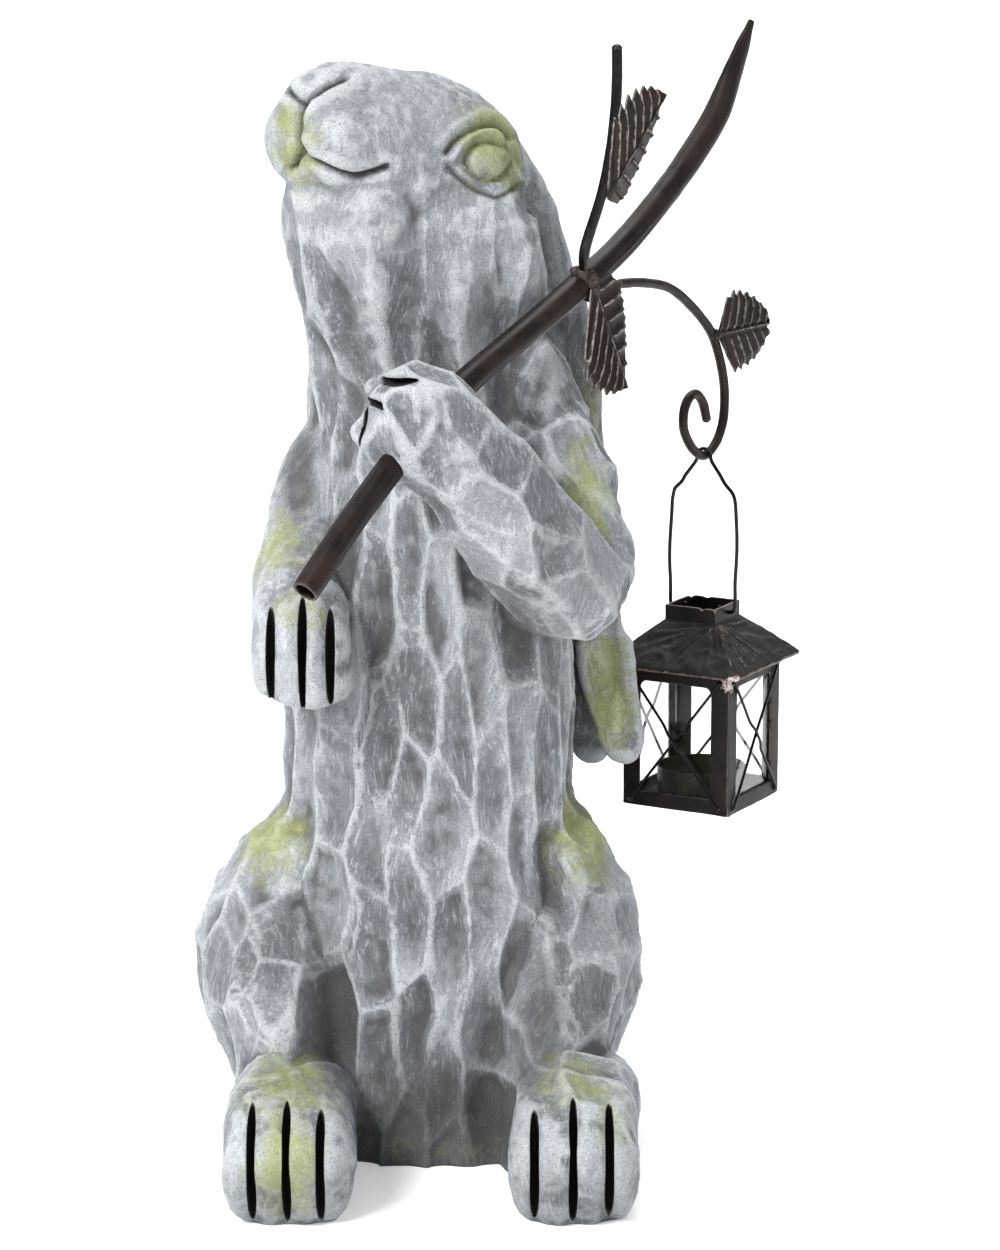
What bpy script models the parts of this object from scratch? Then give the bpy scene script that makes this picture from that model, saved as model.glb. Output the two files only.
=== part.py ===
"""A cast stone rabbit that holds a steel branch, with a small tin lantern hung from the branch's hook.

The rabbit sits upright on its flat underside at z = 0 and faces -Y, with its head turned to -X.
Its pose and carving are given in 500ths of statue_height. Rods, leaves and the lantern have sizes
of their own and hang from points of that pose.
"""

import math

import bmesh
import bpy
import numpy as np
from mathutils import Matrix, Vector

# Driving dimensions, in metres
statue_height = 0.500      # underside to the crown of the head
touch_gap = 0.0003         # air left where two pieces touch

branch_diameter = 0.0120   # steel tube
branch_wall = 0.0014
branch_play = 0.0003       # paw's hole round the branch, all round
twig_diameter = 0.0048
hook_diameter = 0.0044
bail_diameter = 0.0018
cross_wire_diameter = 0.0014

leaf_length = 0.0575
leaf_width = 0.0380
leaf_thick = 0.0009
leaf_lobes = 8
leaf_sweep = math.radians(28)   # veins lean this far towards the tip
leaf_press = 0.0007             # veins stand this far out of the blade

case_side = 0.0550         # lantern case, folded tin
case_height = 0.0680       # below the eaves
tin_thick = 0.0009
post_width = 0.0090
top_band_height = 0.0078   # below the eaves
bottom_rail_height = 0.0070
window_corner = 0.0035     # cut across the window's upper corners
eave_side = 0.0690
eave_drop = 0.0014         # turned-down rim of the roof
roof_rise = 0.0194
collar_side = 0.0260
collar_height = 0.0068
pivot_hole_play = 0.0003
cross_wire_inset = 0.0045
pane_thick = 0.0012
cup_diameter = 0.0410
cup_height = 0.0150

bail_height = 0.0765       # pivot to the top of the loop
bail_shoulder = 0.0530     # pivot to the bend where the legs lean inwards
bail_standoff = 0.0030     # legs stand this far off the collar
bail_stub = 0.0028         # the ends reach this far past the collar's wall
bail_bend = 0.0030
lantern_turn = math.radians(-29)
hook_turn = math.radians(55)

slit_width = 0.0042
slit_depth = 0.0085
facet_depth = 0.0040
skin_voxel = 0.0028
rabbit_triangles = 4400

share = statue_height / 500


# Curves and tubes

def at(x, y, z):
    """A point of the pose, given in 500ths of the statue's height."""
    return np.array([x, y, z], dtype=float) * share


def smooth_rows(rows, steps):
    """A Catmull-Rom curve through rows of numbers, with `steps` pieces between two rows."""
    rows = np.asarray(rows, dtype=float)
    before = 2 * rows[0] - rows[1]
    after = 2 * rows[-1] - rows[-2]
    knots = np.vstack([before, rows, after])
    curve = []
    for i in range(len(rows) - 1):
        a, b, c, d = knots[i:i + 4]
        for k in range(steps):
            t = k / steps
            curve.append(0.5 * (2 * b + (c - a) * t + (2 * a - 5 * b + 4 * c - d) * t ** 2
                                + (3 * b - a - 3 * c + d) * t ** 3))
    curve.append(rows[-1])
    return np.array(curve)


def add_tube(mesh, centres, side_radii, front_radii, side, sides, squareness=2.0):
    """A closed tube along centres; its sections are ellipses or, above 2, squarer ovals."""
    side = np.asarray(side, dtype=float)
    rings = []
    count = len(centres)
    for i in range(count):
        along = centres[min(i + 1, count - 1)] - centres[max(i - 1, 0)]
        along = along / np.linalg.norm(along)
        across = side - along * side.dot(along)
        across = across / np.linalg.norm(across)
        front = np.cross(along, across)
        ring = []
        for k in range(sides):
            turn = 2 * math.pi * k / sides
            c = math.cos(turn)
            s = math.sin(turn)
            u = math.copysign(abs(c) ** (2 / squareness), c)
            v = math.copysign(abs(s) ** (2 / squareness), s)
            place = centres[i] + across * (side_radii[i] * u) + front * (front_radii[i] * v)
            ring.append(mesh.verts.new(place))
        rings.append(ring)
    for lower, upper in zip(rings, rings[1:]):
        for k in range(sides):
            n = (k + 1) % sides
            mesh.faces.new([lower[k], lower[n], upper[n], upper[k]])
    mesh.faces.new(rings[0][::-1])
    mesh.faces.new(rings[-1])


def add_limb(mesh, stations, side, sides=28, steps=4, squareness=2.0):
    """One limb of the rabbit from stations of (x, y, z, half width, half depth)."""
    rows = smooth_rows(np.array(stations, dtype=float) * share, steps)
    radii = np.maximum(rows[:, 3:5], 0.0015)
    add_tube(mesh, rows[:, :3], radii[:, 0], radii[:, 1], side, sides, squareness)


def new_object(name, mesh, material, parent=None, smooth_angle=None):
    """Puts a bmesh into a new object with its material."""
    bmesh.ops.recalc_face_normals(mesh, faces=mesh.faces)
    data = bpy.data.meshes.new(name)
    mesh.to_mesh(data)
    mesh.free()
    if smooth_angle is not None:
        data.shade_smooth()
        data.set_sharp_from_angle(angle=math.radians(smooth_angle))
    thing = bpy.data.objects.new(name, data)
    bpy.context.scene.collection.objects.link(thing)
    if material is not None:
        data.materials.append(material)
    thing.parent = parent
    return thing


def settle(thing):
    """Turns an object's modifiers into its mesh."""
    graph = bpy.context.evaluated_depsgraph_get()
    data = bpy.data.meshes.new_from_object(thing.evaluated_get(graph))
    thing.modifiers.clear()
    old = thing.data
    thing.data = data
    bpy.data.meshes.remove(old)


def hide_cutter(cutter):
    cutter.hide_render = True
    cutter.display_type = "WIRE"


def cut(thing, cutter):
    """Takes a cutter out of a piece."""
    hide_cutter(cutter)
    boolean = thing.modifiers.new("cut " + cutter.name, "BOOLEAN")
    boolean.operation = "DIFFERENCE"
    boolean.solver = "EXACT"
    boolean.object = cutter


def make_material(name, colour, roughness, metallic, alpha=1.0):
    material = bpy.data.materials.new(name)
    material.use_nodes = True
    shader = material.node_tree.nodes["Principled BSDF"]
    shader.inputs["Base Color"].default_value = (*colour, 1.0)
    shader.inputs["Roughness"].default_value = roughness
    shader.inputs["Metallic"].default_value = metallic
    shader.inputs["Alpha"].default_value = alpha
    return material


# The rabbit's pose, in 500ths of its height

torso = [
    (0, 4, -14, 60, 62), (0, 4, 10, 64, 65), (0, 3, 60, 66, 66), (0, 2, 120, 66, 65),
    (0, 2, 175, 65, 62), (0, 2, 230, 65, 58), (1, 2, 280, 62, 54), (1, 1, 325, 54, 50),
    (0, -1, 360, 52, 47), (-1, -6, 392, 55, 47), (-5, -12, 425, 55, 46), (-2, -10, 446, 46, 38),
]
haunch = [
    (79, 6, 139, 10, 16), (76, 3, 130, 22, 36), (71, 0, 106, 31, 50), (68, -4, 80, 34, 60),
    (65, -10, 58, 32, 66), (61, -16, 34, 26, 68), (60, -16, 10, 22, 66), (60, -16, -14, 20, 62),
]
foot = [
    (0, -30, 24, 25, 26), (0, -60, 27, 27, 29), (0, -90, 28, 28, 31), (0, -115, 26, 29, 31),
    (0, -131, 22, 28.5, 28), (0, -140, 19, 25, 23), (0, -145, 17, 18, 14),
]
foot_middles = (-59.5, 65.5)
throat = [
    (-28, -38, 446, 22, 20), (-32, -40, 425, 25, 24), (-30, -34, 402, 28, 28), (-22, -26, 372, 30, 28),
    (-10, -18, 338, 28, 26), (0, -12, 300, 22, 20),
]
low_arm = [
    (-30, -6, 334, 16, 18), (-42, -12, 314, 20, 21), (-53, -20, 290, 19, 22), (-58, -34, 268, 19, 22),
    (-55, -54, 256, 21, 22), (-50, -70, 244, 23, 20), (-50, -76, 230, 24, 18), (-50, -77, 219, 21, 15),
    (-50, -77, 213, 12, 9),
]
high_arm = [
    (30, -4, 372, 18, 18), (42, -12, 348, 25, 26), (52, -22, 316, 27, 28), (65, -32, 286, 25, 25),
    (67, -42, 267, 23, 23), (58, -58, 275, 25, 25), (40, -74, 300, 26, 25), (22, -90, 326, 25, 23),
    (6, -98, 344, 26, 24), (-9, -103, 353, 25, 23), (-22, -107, 358, 17, 16),
]
near_ear = [
    (10, 16, 474, 14, 12), (26, 22, 450, 18, 12), (44, 26, 412, 20, 11), (60, 28, 345, 18, 9),
    (69, 28, 306, 16, 8), (75, 25, 270, 14, 7), (79, 21, 240, 12, 6), (81, 17, 208, 11, 5.5),
    (86, 15, 190, 11, 5.5), (89, 14, 177, 8, 5), (90, 14, 171, 3, 3),
]
far_ear = [
    (16, 24, 462, 14, 12), (32, 32, 430, 20, 12), (46, 38, 380, 22, 11), (56, 40, 320, 22, 10),
    (66, 38, 270, 17, 9), (70, 33, 230, 14, 8), (72, 30, 200, 13, 7), (75, 29, 180, 12, 6.5),
    (77, 29, 169, 9, 6), (77, 29, 164, 4, 4),
]
tail = [(0, 52, 50, 12, 12), (0, 62, 48, 22, 22), (0, 76, 46, 25, 24), (0, 88, 46, 18, 17), (0, 95, 46, 6, 6)]

# The head has its own frame: forwards along the snout, sideways, and up
head_centre = (6, -4, 442)
head_turn = math.radians(47)
head_pitch = math.radians(17)
skull = [
    (-36, -2, 10, 12), (-30, -2, 24, 24), (-14, -1, 37, 38), (8, 1, 41, 43), (30, 2, 39, 42),
    (48, 5, 35, 37), (62, 7, 32, 33), (74, 7, 27, 29), (84, 6, 20, 22), (90, 5, 8, 10),
]


def head_axes():
    """Forward, sideways and up of the turned and lifted head."""
    forward = np.array([-math.sin(head_turn) * math.cos(head_pitch),
                        -math.cos(head_turn) * math.cos(head_pitch),
                        math.sin(head_pitch)])
    sideways = np.array([math.cos(head_turn), -math.sin(head_turn), 0.0])
    return forward, sideways, np.cross(forward, sideways)


def head_point(f, s, h):
    """A point of the head in 500ths: f along the snout, s to its left side, h up."""
    forward, sideways, up = head_axes()
    return np.array(head_centre) + forward * f + sideways * s + up * h


def add_ball(mesh, centre, radii, axes):
    """An egg shape with its own three axes, in 500ths."""
    turn = Matrix([list(axis) for axis in axes]).transposed().to_4x4()
    stretch = Matrix.Diagonal((*[r * share for r in radii], 1.0))
    place = Matrix.Translation(Vector(np.asarray(centre) * share))
    bmesh.ops.create_icosphere(mesh, subdivisions=3, radius=1.0, matrix=place @ turn @ stretch)


def add_head(mesh):
    rows = smooth_rows(skull, 4)
    centres = np.array([head_point(f, 0, h) for f, h, _, _ in rows]) * share
    forward, sideways, up = head_axes()
    add_tube(mesh, centres, rows[:, 2] * share, rows[:, 3] * share, sideways, 28)
    for hand in (-1, 1):
        add_ball(mesh, head_point(71, 13 * hand, 3), (19, 16, 20), (forward, sideways, up))
        add_ball(mesh, head_point(10, 31 * hand, 10), (17, 10, 15), (forward, sideways, up))
    add_ball(mesh, head_point(56, 0, -20), (22, 22, 17), (forward, sideways, up))
    add_ball(mesh, head_point(74, 0, 20), (13, 13, 10), (forward, sideways, up))


def mirrored(stations, offset=0.0):
    return [(offset - row[0], *row[1:]) for row in stations]


def moved(stations, offset):
    return [(offset + row[0], *row[1:]) for row in stations]


def build_rabbit_skin(material):
    """All limbs as closed tubes, then one skin over them."""
    mesh = bmesh.new()
    right = (1, 0, 0)
    add_limb(mesh, torso, right, squareness=2.2)
    add_limb(mesh, moved(haunch, -4), right, squareness=2.1)
    add_limb(mesh, mirrored(haunch, -6), right, squareness=2.1)
    for middle in foot_middles:
        add_limb(mesh, moved(foot, middle), right, squareness=2.7)
    add_limb(mesh, throat, right)
    add_limb(mesh, low_arm, right)
    add_limb(mesh, high_arm, (0.4, 1, 0.5))
    add_limb(mesh, near_ear, right)
    add_limb(mesh, far_ear, right)
    add_limb(mesh, tail, right)
    add_head(mesh)
    rabbit = new_object("rabbit", mesh, material)
    remesh = rabbit.modifiers.new("one skin", "REMESH")
    remesh.mode = "VOXEL"
    remesh.voxel_size = skin_voxel
    soften = rabbit.modifiers.new("soft joints", "SMOOTH")
    soften.factor = 0.5
    soften.iterations = 5
    settle(rabbit)
    return rabbit


# Carving of the stone

def scatter(cells, salt):
    """A steady number from 0 to 1 for each row of whole numbers."""
    mix = cells @ np.array([127.1, 311.7, 74.7]) + salt
    return np.modf(np.abs(np.sin(mix) * 43758.5453))[0]


def chisel_cells(points, size):
    """Distance to the nearest and the second cell centre, in cells; size is one cell's x, y, z."""
    q = points / np.array(size, dtype=float)
    base = np.floor(q)
    nearest = np.full(len(q), 9.0)
    second = np.full(len(q), 9.0)
    for shift in np.ndindex(3, 3, 3):
        cells = base + np.array(shift) - 1
        centre = cells + 0.5 + 0.6 * (np.stack([scatter(cells, k) for k in (0, 19, 47)], axis=1) - 0.5)
        far = np.linalg.norm(centre - q, axis=1)
        second = np.minimum(second, np.maximum(nearest, far))
        nearest = np.minimum(nearest, far)
    return nearest, second


def ramp(x, low, high):
    """0 below low, 1 above high, smooth between."""
    t = np.clip((x - low) / (high - low), 0, 1)
    return t * t * (3 - 2 * t)


# The face, in the head's frame: forwards, sideways, up
eye_place = (10.4, 10.7)
eye_ball = (10.5, 8.5)
lid_size = (18.0, 12.0)
mouth_line = [(88, 0, -5), (86, 6, -8), (84, 13, -10.5), (78, 20, -12), (70, 25, -12), (63, 27.5, -9),
              (56, 28, -4.5)]
nose_line = [(88, 0, 15), (84, 5, 19), (79, 9, 23), (71, 13, 27)]
philtrum_line = [(88, 0, 15), (89, 0, 5), (88, 0, -5)]


def line_distance(points, line):
    """Shortest distance from each point to a line of straight runs."""
    nearest = np.full(len(points), 1e3)
    for a, b in zip(np.array(line[:-1], dtype=float), np.array(line[1:], dtype=float)):
        run = b - a
        t = np.clip((points - a) @ run / (run @ run), 0, 1)
        nearest = np.minimum(nearest, np.linalg.norm(points - a - t[:, None] * run, axis=1))
    return nearest


def dent(distance, width):
    return np.exp(-(distance / width) ** 2)


def face_relief(p):
    """Eyes with their lids, the nose's Y and the mouth, as heights over the head in 500ths."""
    local = (p - np.array(head_centre)) @ np.stack(head_axes(), axis=1)
    local[:, 1] = np.abs(local[:, 1])
    on_head = ramp(p[:, 2], 415, 425)
    a = local[:, 0] - eye_place[0]
    b = local[:, 2] - eye_place[1]
    side = ramp(local[:, 1], 16, 24) * on_head
    ball = np.hypot(a / eye_ball[0], b / eye_ball[1])
    lid = np.hypot(a / lid_size[0], b / lid_size[1])
    height = 4.0 * np.sqrt(np.clip(1 - ball ** 2, 0, 1)) - 3.2 * dent(ball - 1.18, 0.22)
    height += 1.8 * dent(lid - 1.0, 0.13) * ramp(b, -6, 2) - 1.6 * dent(lid - 1.28, 0.12) * ramp(b, 0, 6)
    height += 1.2 * dent(lid - 0.95, 0.13) * ramp(-b, 2, 6)
    height *= side
    front = ramp(local[:, 0], 40, 50) * on_head
    for line, deep, wide in ((mouth_line, 3.6, 2.6), (nose_line, 3.0, 2.6), (philtrum_line, 3.4, 2.6)):
        height -= deep * dent(line_distance(local, line), wide) * front
    return height


def ear_hollow(p, normals):
    """The open front of the hanging ear, as a depth in 500ths."""
    rows = smooth_rows(near_ear, 6)[::-1]
    middle = np.interp(p[:, 2], rows[:, 2], rows[:, 0])
    half = np.interp(p[:, 2], rows[:, 2], rows[:, 3])
    back = np.interp(p[:, 2], rows[:, 2], rows[:, 1])
    off = np.clip(np.abs(p[:, 0] - middle) / half, 0, 1)
    hollow = 3.4 * (1 - ramp(off, 0.25, 0.8)) * ramp(-normals[:, 1], 0.2, 0.6)
    near = (1 - ramp(np.abs(p[:, 1] - back), 9, 12)) * ramp(p[:, 2], 172, 182) * (1 - ramp(p[:, 2], 400, 430))
    return hollow * near


def carve(rabbit):
    """Shallow gouge marks over the whole figure, calmer on the head, the paws and the feet."""
    data = rabbit.data
    count = len(data.vertices)
    places = np.empty(count * 3, dtype=np.float32)
    data.vertices.foreach_get("co", places)
    places = places.reshape(-1, 3).astype(float)
    normals = np.empty(count * 3, dtype=np.float32)
    data.vertices.foreach_get("normal", normals)
    normals = normals.reshape(-1, 3).astype(float)
    p = places / share
    upright, _ = chisel_cells(p, (21, 21, 54))
    elbow = np.array(high_arm[4][:3], dtype=float)
    wrist = np.array(high_arm[8][:3], dtype=float)
    along = (wrist - elbow) / np.linalg.norm(wrist - elbow)
    over = np.cross(along, (0, 1, 0))
    over /= np.linalg.norm(over)
    turned = np.stack([p @ over, p @ np.cross(along, over), p @ along], axis=1)
    leaning, _ = chisel_cells(turned, (17, 17, 40))
    t = np.clip((p - elbow) @ along, 0, np.linalg.norm(wrist - elbow))
    off_arm = np.linalg.norm(p - elbow - t[:, None] * along, axis=1)
    arm = 1 - ramp(off_arm, 27, 33)
    bowl = np.minimum(upright, 1) ** 2 * (1 - arm) + np.minimum(leaning, 1) ** 2 * arm
    strength = 1 - 0.8 * ramp(p[:, 2], 418, 440)
    strength *= 1 - 0.6 * (1 - ramp(p[:, 2], 42, 60)) * (1 - ramp(p[:, 1], -100, -80))
    height = facet_depth / share * (bowl - 0.4) * strength + face_relief(p) - ear_hollow(p, normals)
    places += normals * (height * share)[:, None]
    data.vertices.foreach_set("co", places.astype(np.float32).ravel())
    data.update()


def add_lens(mesh, middle, axes, long):
    """A lens-shaped cutter for one claw slit: thin across, slit_depth deep, long along its third axis."""
    turn = Matrix([list(axis) for axis in axes]).transposed().to_4x4()
    stretch = Matrix.Diagonal((slit_width / 2, slit_depth, long, 1.0))
    bmesh.ops.create_uvsphere(mesh, u_segments=8, v_segments=8, radius=1.0,
                              matrix=Matrix.Translation(Vector(middle)) @ turn @ stretch)


def tilted_axes(lean):
    """Across, into and along a slit on a face that looks to -Y and leans back by lean."""
    across = (1, 0, 0)
    along = (0, math.sin(lean), math.cos(lean))
    into = (0, math.cos(lean), -math.sin(lean))
    return across, into, along


foot_slits = ((-14, -16), (1.5, 0), (18, 16.5))      # across the left and the right foot
low_paw_slits = (-64.5, -50.5, -37.5)
high_paw_slits = [((-15, -115, 370), (0.32, 0, 0.95), 9), ((-17, -120, 360), (0.1, 0, 1), 8),
                  ((-25, -113, 351), (1, 0, 0.15), 8)]


def build_slits():
    """All claw slits of the feet and the paws in one cutter."""
    mesh = bmesh.new()
    lean = math.radians(9)
    for left, right in foot_slits:
        for middle, offset in zip(foot_middles, (left, right)):
            add_lens(mesh, at(middle + offset, -145, 30), tilted_axes(lean), 26 * share)
    for x in low_paw_slits:
        add_lens(mesh, at(x, -93, 237), tilted_axes(0), 20 * share)
    for middle, across, long in high_paw_slits:
        across = np.array(across) / np.linalg.norm(across)
        into = np.array((0.0, 1.0, 0.0))
        add_lens(mesh, at(*middle), (across, into, np.cross(across, into)), long * share)
    return new_object("claw slits", mesh, None)


def flatten_underside(thing):
    """Cuts the figure off flat at z = 0."""
    mesh = bmesh.new()
    mesh.from_mesh(thing.data)
    cut_ring = bmesh.ops.bisect_plane(mesh, geom=mesh.verts[:] + mesh.edges[:] + mesh.faces[:],
                                      plane_co=(0, 0, 0), plane_no=(0, 0, -1), clear_outer=True)
    edges = [e for e in cut_ring["geom_cut"] if isinstance(e, bmesh.types.BMEdge)]
    bmesh.ops.holes_fill(mesh, edges=edges, sides=0)
    bmesh.ops.triangulate(mesh, faces=mesh.faces[:])
    mesh.to_mesh(thing.data)
    mesh.free()


def build_rabbit(material):
    """The cast: skin, gouge marks, fewer triangles, flat underside, claw slits, hole for the branch."""
    rabbit = build_rabbit_skin(material)
    carve(rabbit)
    fewer = rabbit.modifiers.new("fewer triangles", "DECIMATE")
    fewer.ratio = rabbit_triangles / (2 * len(rabbit.data.polygons))
    settle(rabbit)
    flatten_underside(rabbit)
    cut(rabbit, build_slits())
    cut(rabbit, build_branch_body("branch hole", branch_diameter / 2 + branch_play, None))
    return rabbit


# Branch, twig, hook and leaves

branch_route = [
    (-48.4, -157.4, 288.0), (-30.2, -136.4, 312.8), (-10.8, -114.1, 336.1), (4.3, -96.7, 351.6),
    (21.3, -77.2, 366.2), (43.5, -51.7, 381.0), (69.3, -22.0, 398.8), (88.8, 0.4, 414.1),
    (107.3, 21.7, 433.4), (119.9, 36.2, 448.9), (131.2, 49.2, 465.7), (139.2, 58.4, 484.3),
    (144.4, 64.4, 497.4), (147.9, 68.5, 506.6),
]
branch_taper = {11: (1.0, 0.62), 12: (0.66, 0.40), 13: (0.30, 0.24)}   # hammered tip, shares of the radius
bore_stations = 11         # the bore ends where the hammered tip begins
node = 6                   # station where the twig and the hook arm are welded on
twig_route = [(70.5, -33, 416), (76.8, -34, 437), (81, -34, 456.3), (83.1, -34, 474.2),
              (83.9, -34, 489.4), (83.8, -34, 505)]
hook_route = [             # out and up in the hook's upright plane, from the weld
    (0.0, 393.8), (10.5, 395.0), (22.5, 394.8), (37.3, 393.1), (54.9, 389.2), (68.5, 382.5),
    (82.3, 373.0), (93.6, 362.7), (100.8, 349.5), (105.0, 335.3), (104.1, 320.9), (98.0, 311.0),
    (87.9, 306.4), (77.6, 311.5), (70.6, 320.5), (70.0, 329.0), (74.0, 335.0), (80.4, 336.4),
    (86.3, 331.5), (89.6, 323.5),
]
hook_low = 12              # lowest station, where the bail hangs
hook_start = (77.5, -12.0)
hook_leaf_station = 7


def hook_place(out, up):
    return at(hook_start[0] + out * math.cos(hook_turn), hook_start[1] + out * math.sin(hook_turn), up)


def unit(vector):
    vector = np.asarray(vector, dtype=float)
    return vector / np.linalg.norm(vector)


def square_to(vector, axis):
    """The part of a vector that stands square to an axis, at length 1."""
    axis = unit(axis)
    return unit(np.asarray(vector, dtype=float) - axis * np.dot(vector, axis))


def branch_weld(direction, distance):
    """A point beside the branch's node, and the branch's direction there."""
    along = at(*branch_route[node + 1]) - at(*branch_route[node - 1])
    return at(*branch_route[node]) + square_to(direction, along) * distance


def build_branch_body(name, radius, material, stations=None):
    """The branch's outside at a radius, or the same route for its hole or its bore."""
    stations = stations or len(branch_route)
    rows = []
    for i, place in enumerate(branch_route[:stations]):
        wide, thick = branch_taper.get(i, (1.0, 1.0))
        rows.append((*at(*place), radius * wide, radius * thick))
    rows = smooth_rows(rows, 2)
    mesh = bmesh.new()
    across = (-math.sin(hook_turn), math.cos(hook_turn), 0)
    add_tube(mesh, rows[:, :3], rows[:, 4], rows[:, 3], across, 12)
    return new_object(name, mesh, material, smooth_angle=40)


def build_branch(material):
    branch = build_branch_body("branch", branch_diameter / 2, material)
    bore = build_branch_body("branch bore", branch_diameter / 2 - branch_wall, None, bore_stations)
    cut(branch, bore)
    return branch


def new_rod(name, points, diameter, material, parent=None, roundness=2):
    """A round rod or wire along points."""
    curve = bpy.data.curves.new(name, "CURVE")
    curve.dimensions = "3D"
    curve.bevel_depth = diameter / 2
    curve.bevel_resolution = roundness
    curve.use_fill_caps = True
    line = curve.splines.new("POLY")
    line.points.add(len(points) - 1)
    for spot, place in zip(line.points, points):
        spot.co = (*place, 1.0)
    curve.materials.append(material)
    rod = bpy.data.objects.new(name, curve)
    bpy.context.scene.collection.objects.link(rod)
    rod.parent = parent
    return rod


def build_twig(material):
    reach = (branch_diameter + twig_diameter) / 2 + touch_gap
    foot = branch_weld((-0.35, -1.0, 0.35), reach)
    points = np.vstack([foot, [at(*place) for place in twig_route]])
    return new_rod("twig", smooth_rows(points, 3), twig_diameter, material)


def hook_points():
    reach = (branch_diameter + hook_diameter) / 2 + touch_gap
    foot = branch_weld((0.4, -0.1, -1.0), reach)
    return np.vstack([foot, [hook_place(*place) for place in hook_route[1:]]])


def build_leaf(name, start, tip, across, fold, material):
    """A pressed leaf from the end of its stem to its tip: swept rows, every second one pressed up."""
    along = unit(tip - start)
    across = square_to(across, along)
    face = np.cross(along, across)
    if face[1] > 0:
        face = -face
    mesh = bmesh.new()
    stem = [mesh.verts.new(start + across * (out * 0.0016)) for out in (-1, 0, 1)]
    rows = []
    steps = 2 * leaf_lobes
    for i in range(steps + 1):
        t = i / steps
        ridge = i % 2
        half = leaf_width / 2 * min(1, 0.70 + 1.4 * t) * (1 - t ** 2.2) ** 0.8
        half = max(half * (1.0 if ridge else 0.86), 0.0005)
        root = leaf_length * (0.07 + 0.83 * t)
        row = []
        for share_out in (-1, -0.5, 0, 0.5, 1):
            out = half * share_out
            forward = abs(out) * math.tan(leaf_sweep)
            if i == steps:
                forward = leaf_length * 0.10
            lift = leaf_press * ridge * (1.0 if share_out else 0.4) + abs(out) * math.tan(fold)
            row.append(mesh.verts.new(start + along * (root + forward) + across * out + face * lift))
        rows.append(row)
    mesh.faces.new([stem[0], stem[1], rows[0][2], rows[0][1]])
    mesh.faces.new([stem[1], stem[2], rows[0][3], rows[0][2]])
    for lower, upper in zip(rows, rows[1:]):
        for k in range(4):
            mesh.faces.new([lower[k], lower[k + 1], upper[k + 1], upper[k]])
    leaf = new_object(name, mesh, material)
    solid = leaf.modifiers.new("sheet", "SOLIDIFY")
    solid.thickness = leaf_thick
    solid.offset = 0
    return leaf


def build_leaves(material):
    """Three pressed leaves: on the twig, on the branch's node and on the hook arm."""
    stand = touch_gap + leaf_thick
    facing = np.array((math.sin(hook_turn), -math.cos(hook_turn), 0))
    plane = (math.cos(hook_turn), math.sin(hook_turn), 0)
    on_twig = at(*twig_route[1]) + facing * (twig_diameter / 2 + stand)
    build_leaf("leaf_upper", on_twig, at(108.6, -15, 486.3), plane, math.radians(-10), material)
    on_node = branch_weld((0.25, -1, 0.1), branch_diameter / 2 + stand)
    build_leaf("leaf_lower", on_node, at(90.9, -12, 346.5), plane, math.radians(4), material)
    on_hook = hook_place(*hook_route[hook_leaf_station]) + facing * (hook_diameter / 2 + stand)
    build_leaf("leaf_hook", on_hook, at(159.6, 105.4, 361.5), (0, 0, 1), math.radians(4), material)


# The lantern, in its own frame: the bail's axis is x, and z = 0 on that axis

eave_z = -(collar_height / 2 + roof_rise)
floor_z = eave_z - case_height
roof_slope = roof_rise / ((eave_side - collar_side) / 2)


def rounded_route(corners, radius, pieces=4):
    """Straight runs through corners, each corner turned by a short curve."""
    corners = [np.asarray(c, dtype=float) for c in corners]
    route = [corners[0]]
    for before, corner, after in zip(corners, corners[1:], corners[2:]):
        reach = min(radius, np.linalg.norm(corner - before) / 2, np.linalg.norm(after - corner) / 2)
        start = corner + unit(before - corner) * reach
        end = corner + unit(after - corner) * reach
        for k in range(pieces + 1):
            t = k / pieces
            route.append((1 - t) ** 2 * start + 2 * t * (1 - t) * corner + t ** 2 * end)
    route.append(corners[-1])
    return route


def build_bail(parent, material):
    """A wire bail: ends hooked through the collar, legs, two leaning runs and a narrow loop on top."""
    leg = collar_side / 2 + bail_standoff + bail_diameter / 2
    end = collar_side / 2 - tin_thick - bail_stub
    loop = (hook_diameter + bail_diameter) / 2 + touch_gap
    half = [(end, 0, 0), (leg, 0, 0), (leg, 0, bail_shoulder), (loop * 1.05, 0, bail_height - loop * 1.6)]
    top = []
    for k in range(1, 8):
        turn = math.pi * k / 8
        top.append((loop * math.cos(turn), 0, bail_height - loop + loop * math.sin(turn)))
    corners = half + top + [(-x, y, z) for x, y, z in half[::-1]]
    return new_rod("bail", rounded_route(corners, bail_bend, 3), bail_diameter, material, parent)


def add_box(mesh, low, high):
    size = [b - a for a, b in zip(low, high)]
    middle = [(a + b) / 2 for a, b in zip(low, high)]
    place = Matrix.Translation(middle) @ Matrix.Diagonal((*size, 1.0))
    bmesh.ops.create_cube(mesh, size=1.0, matrix=place)


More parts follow.
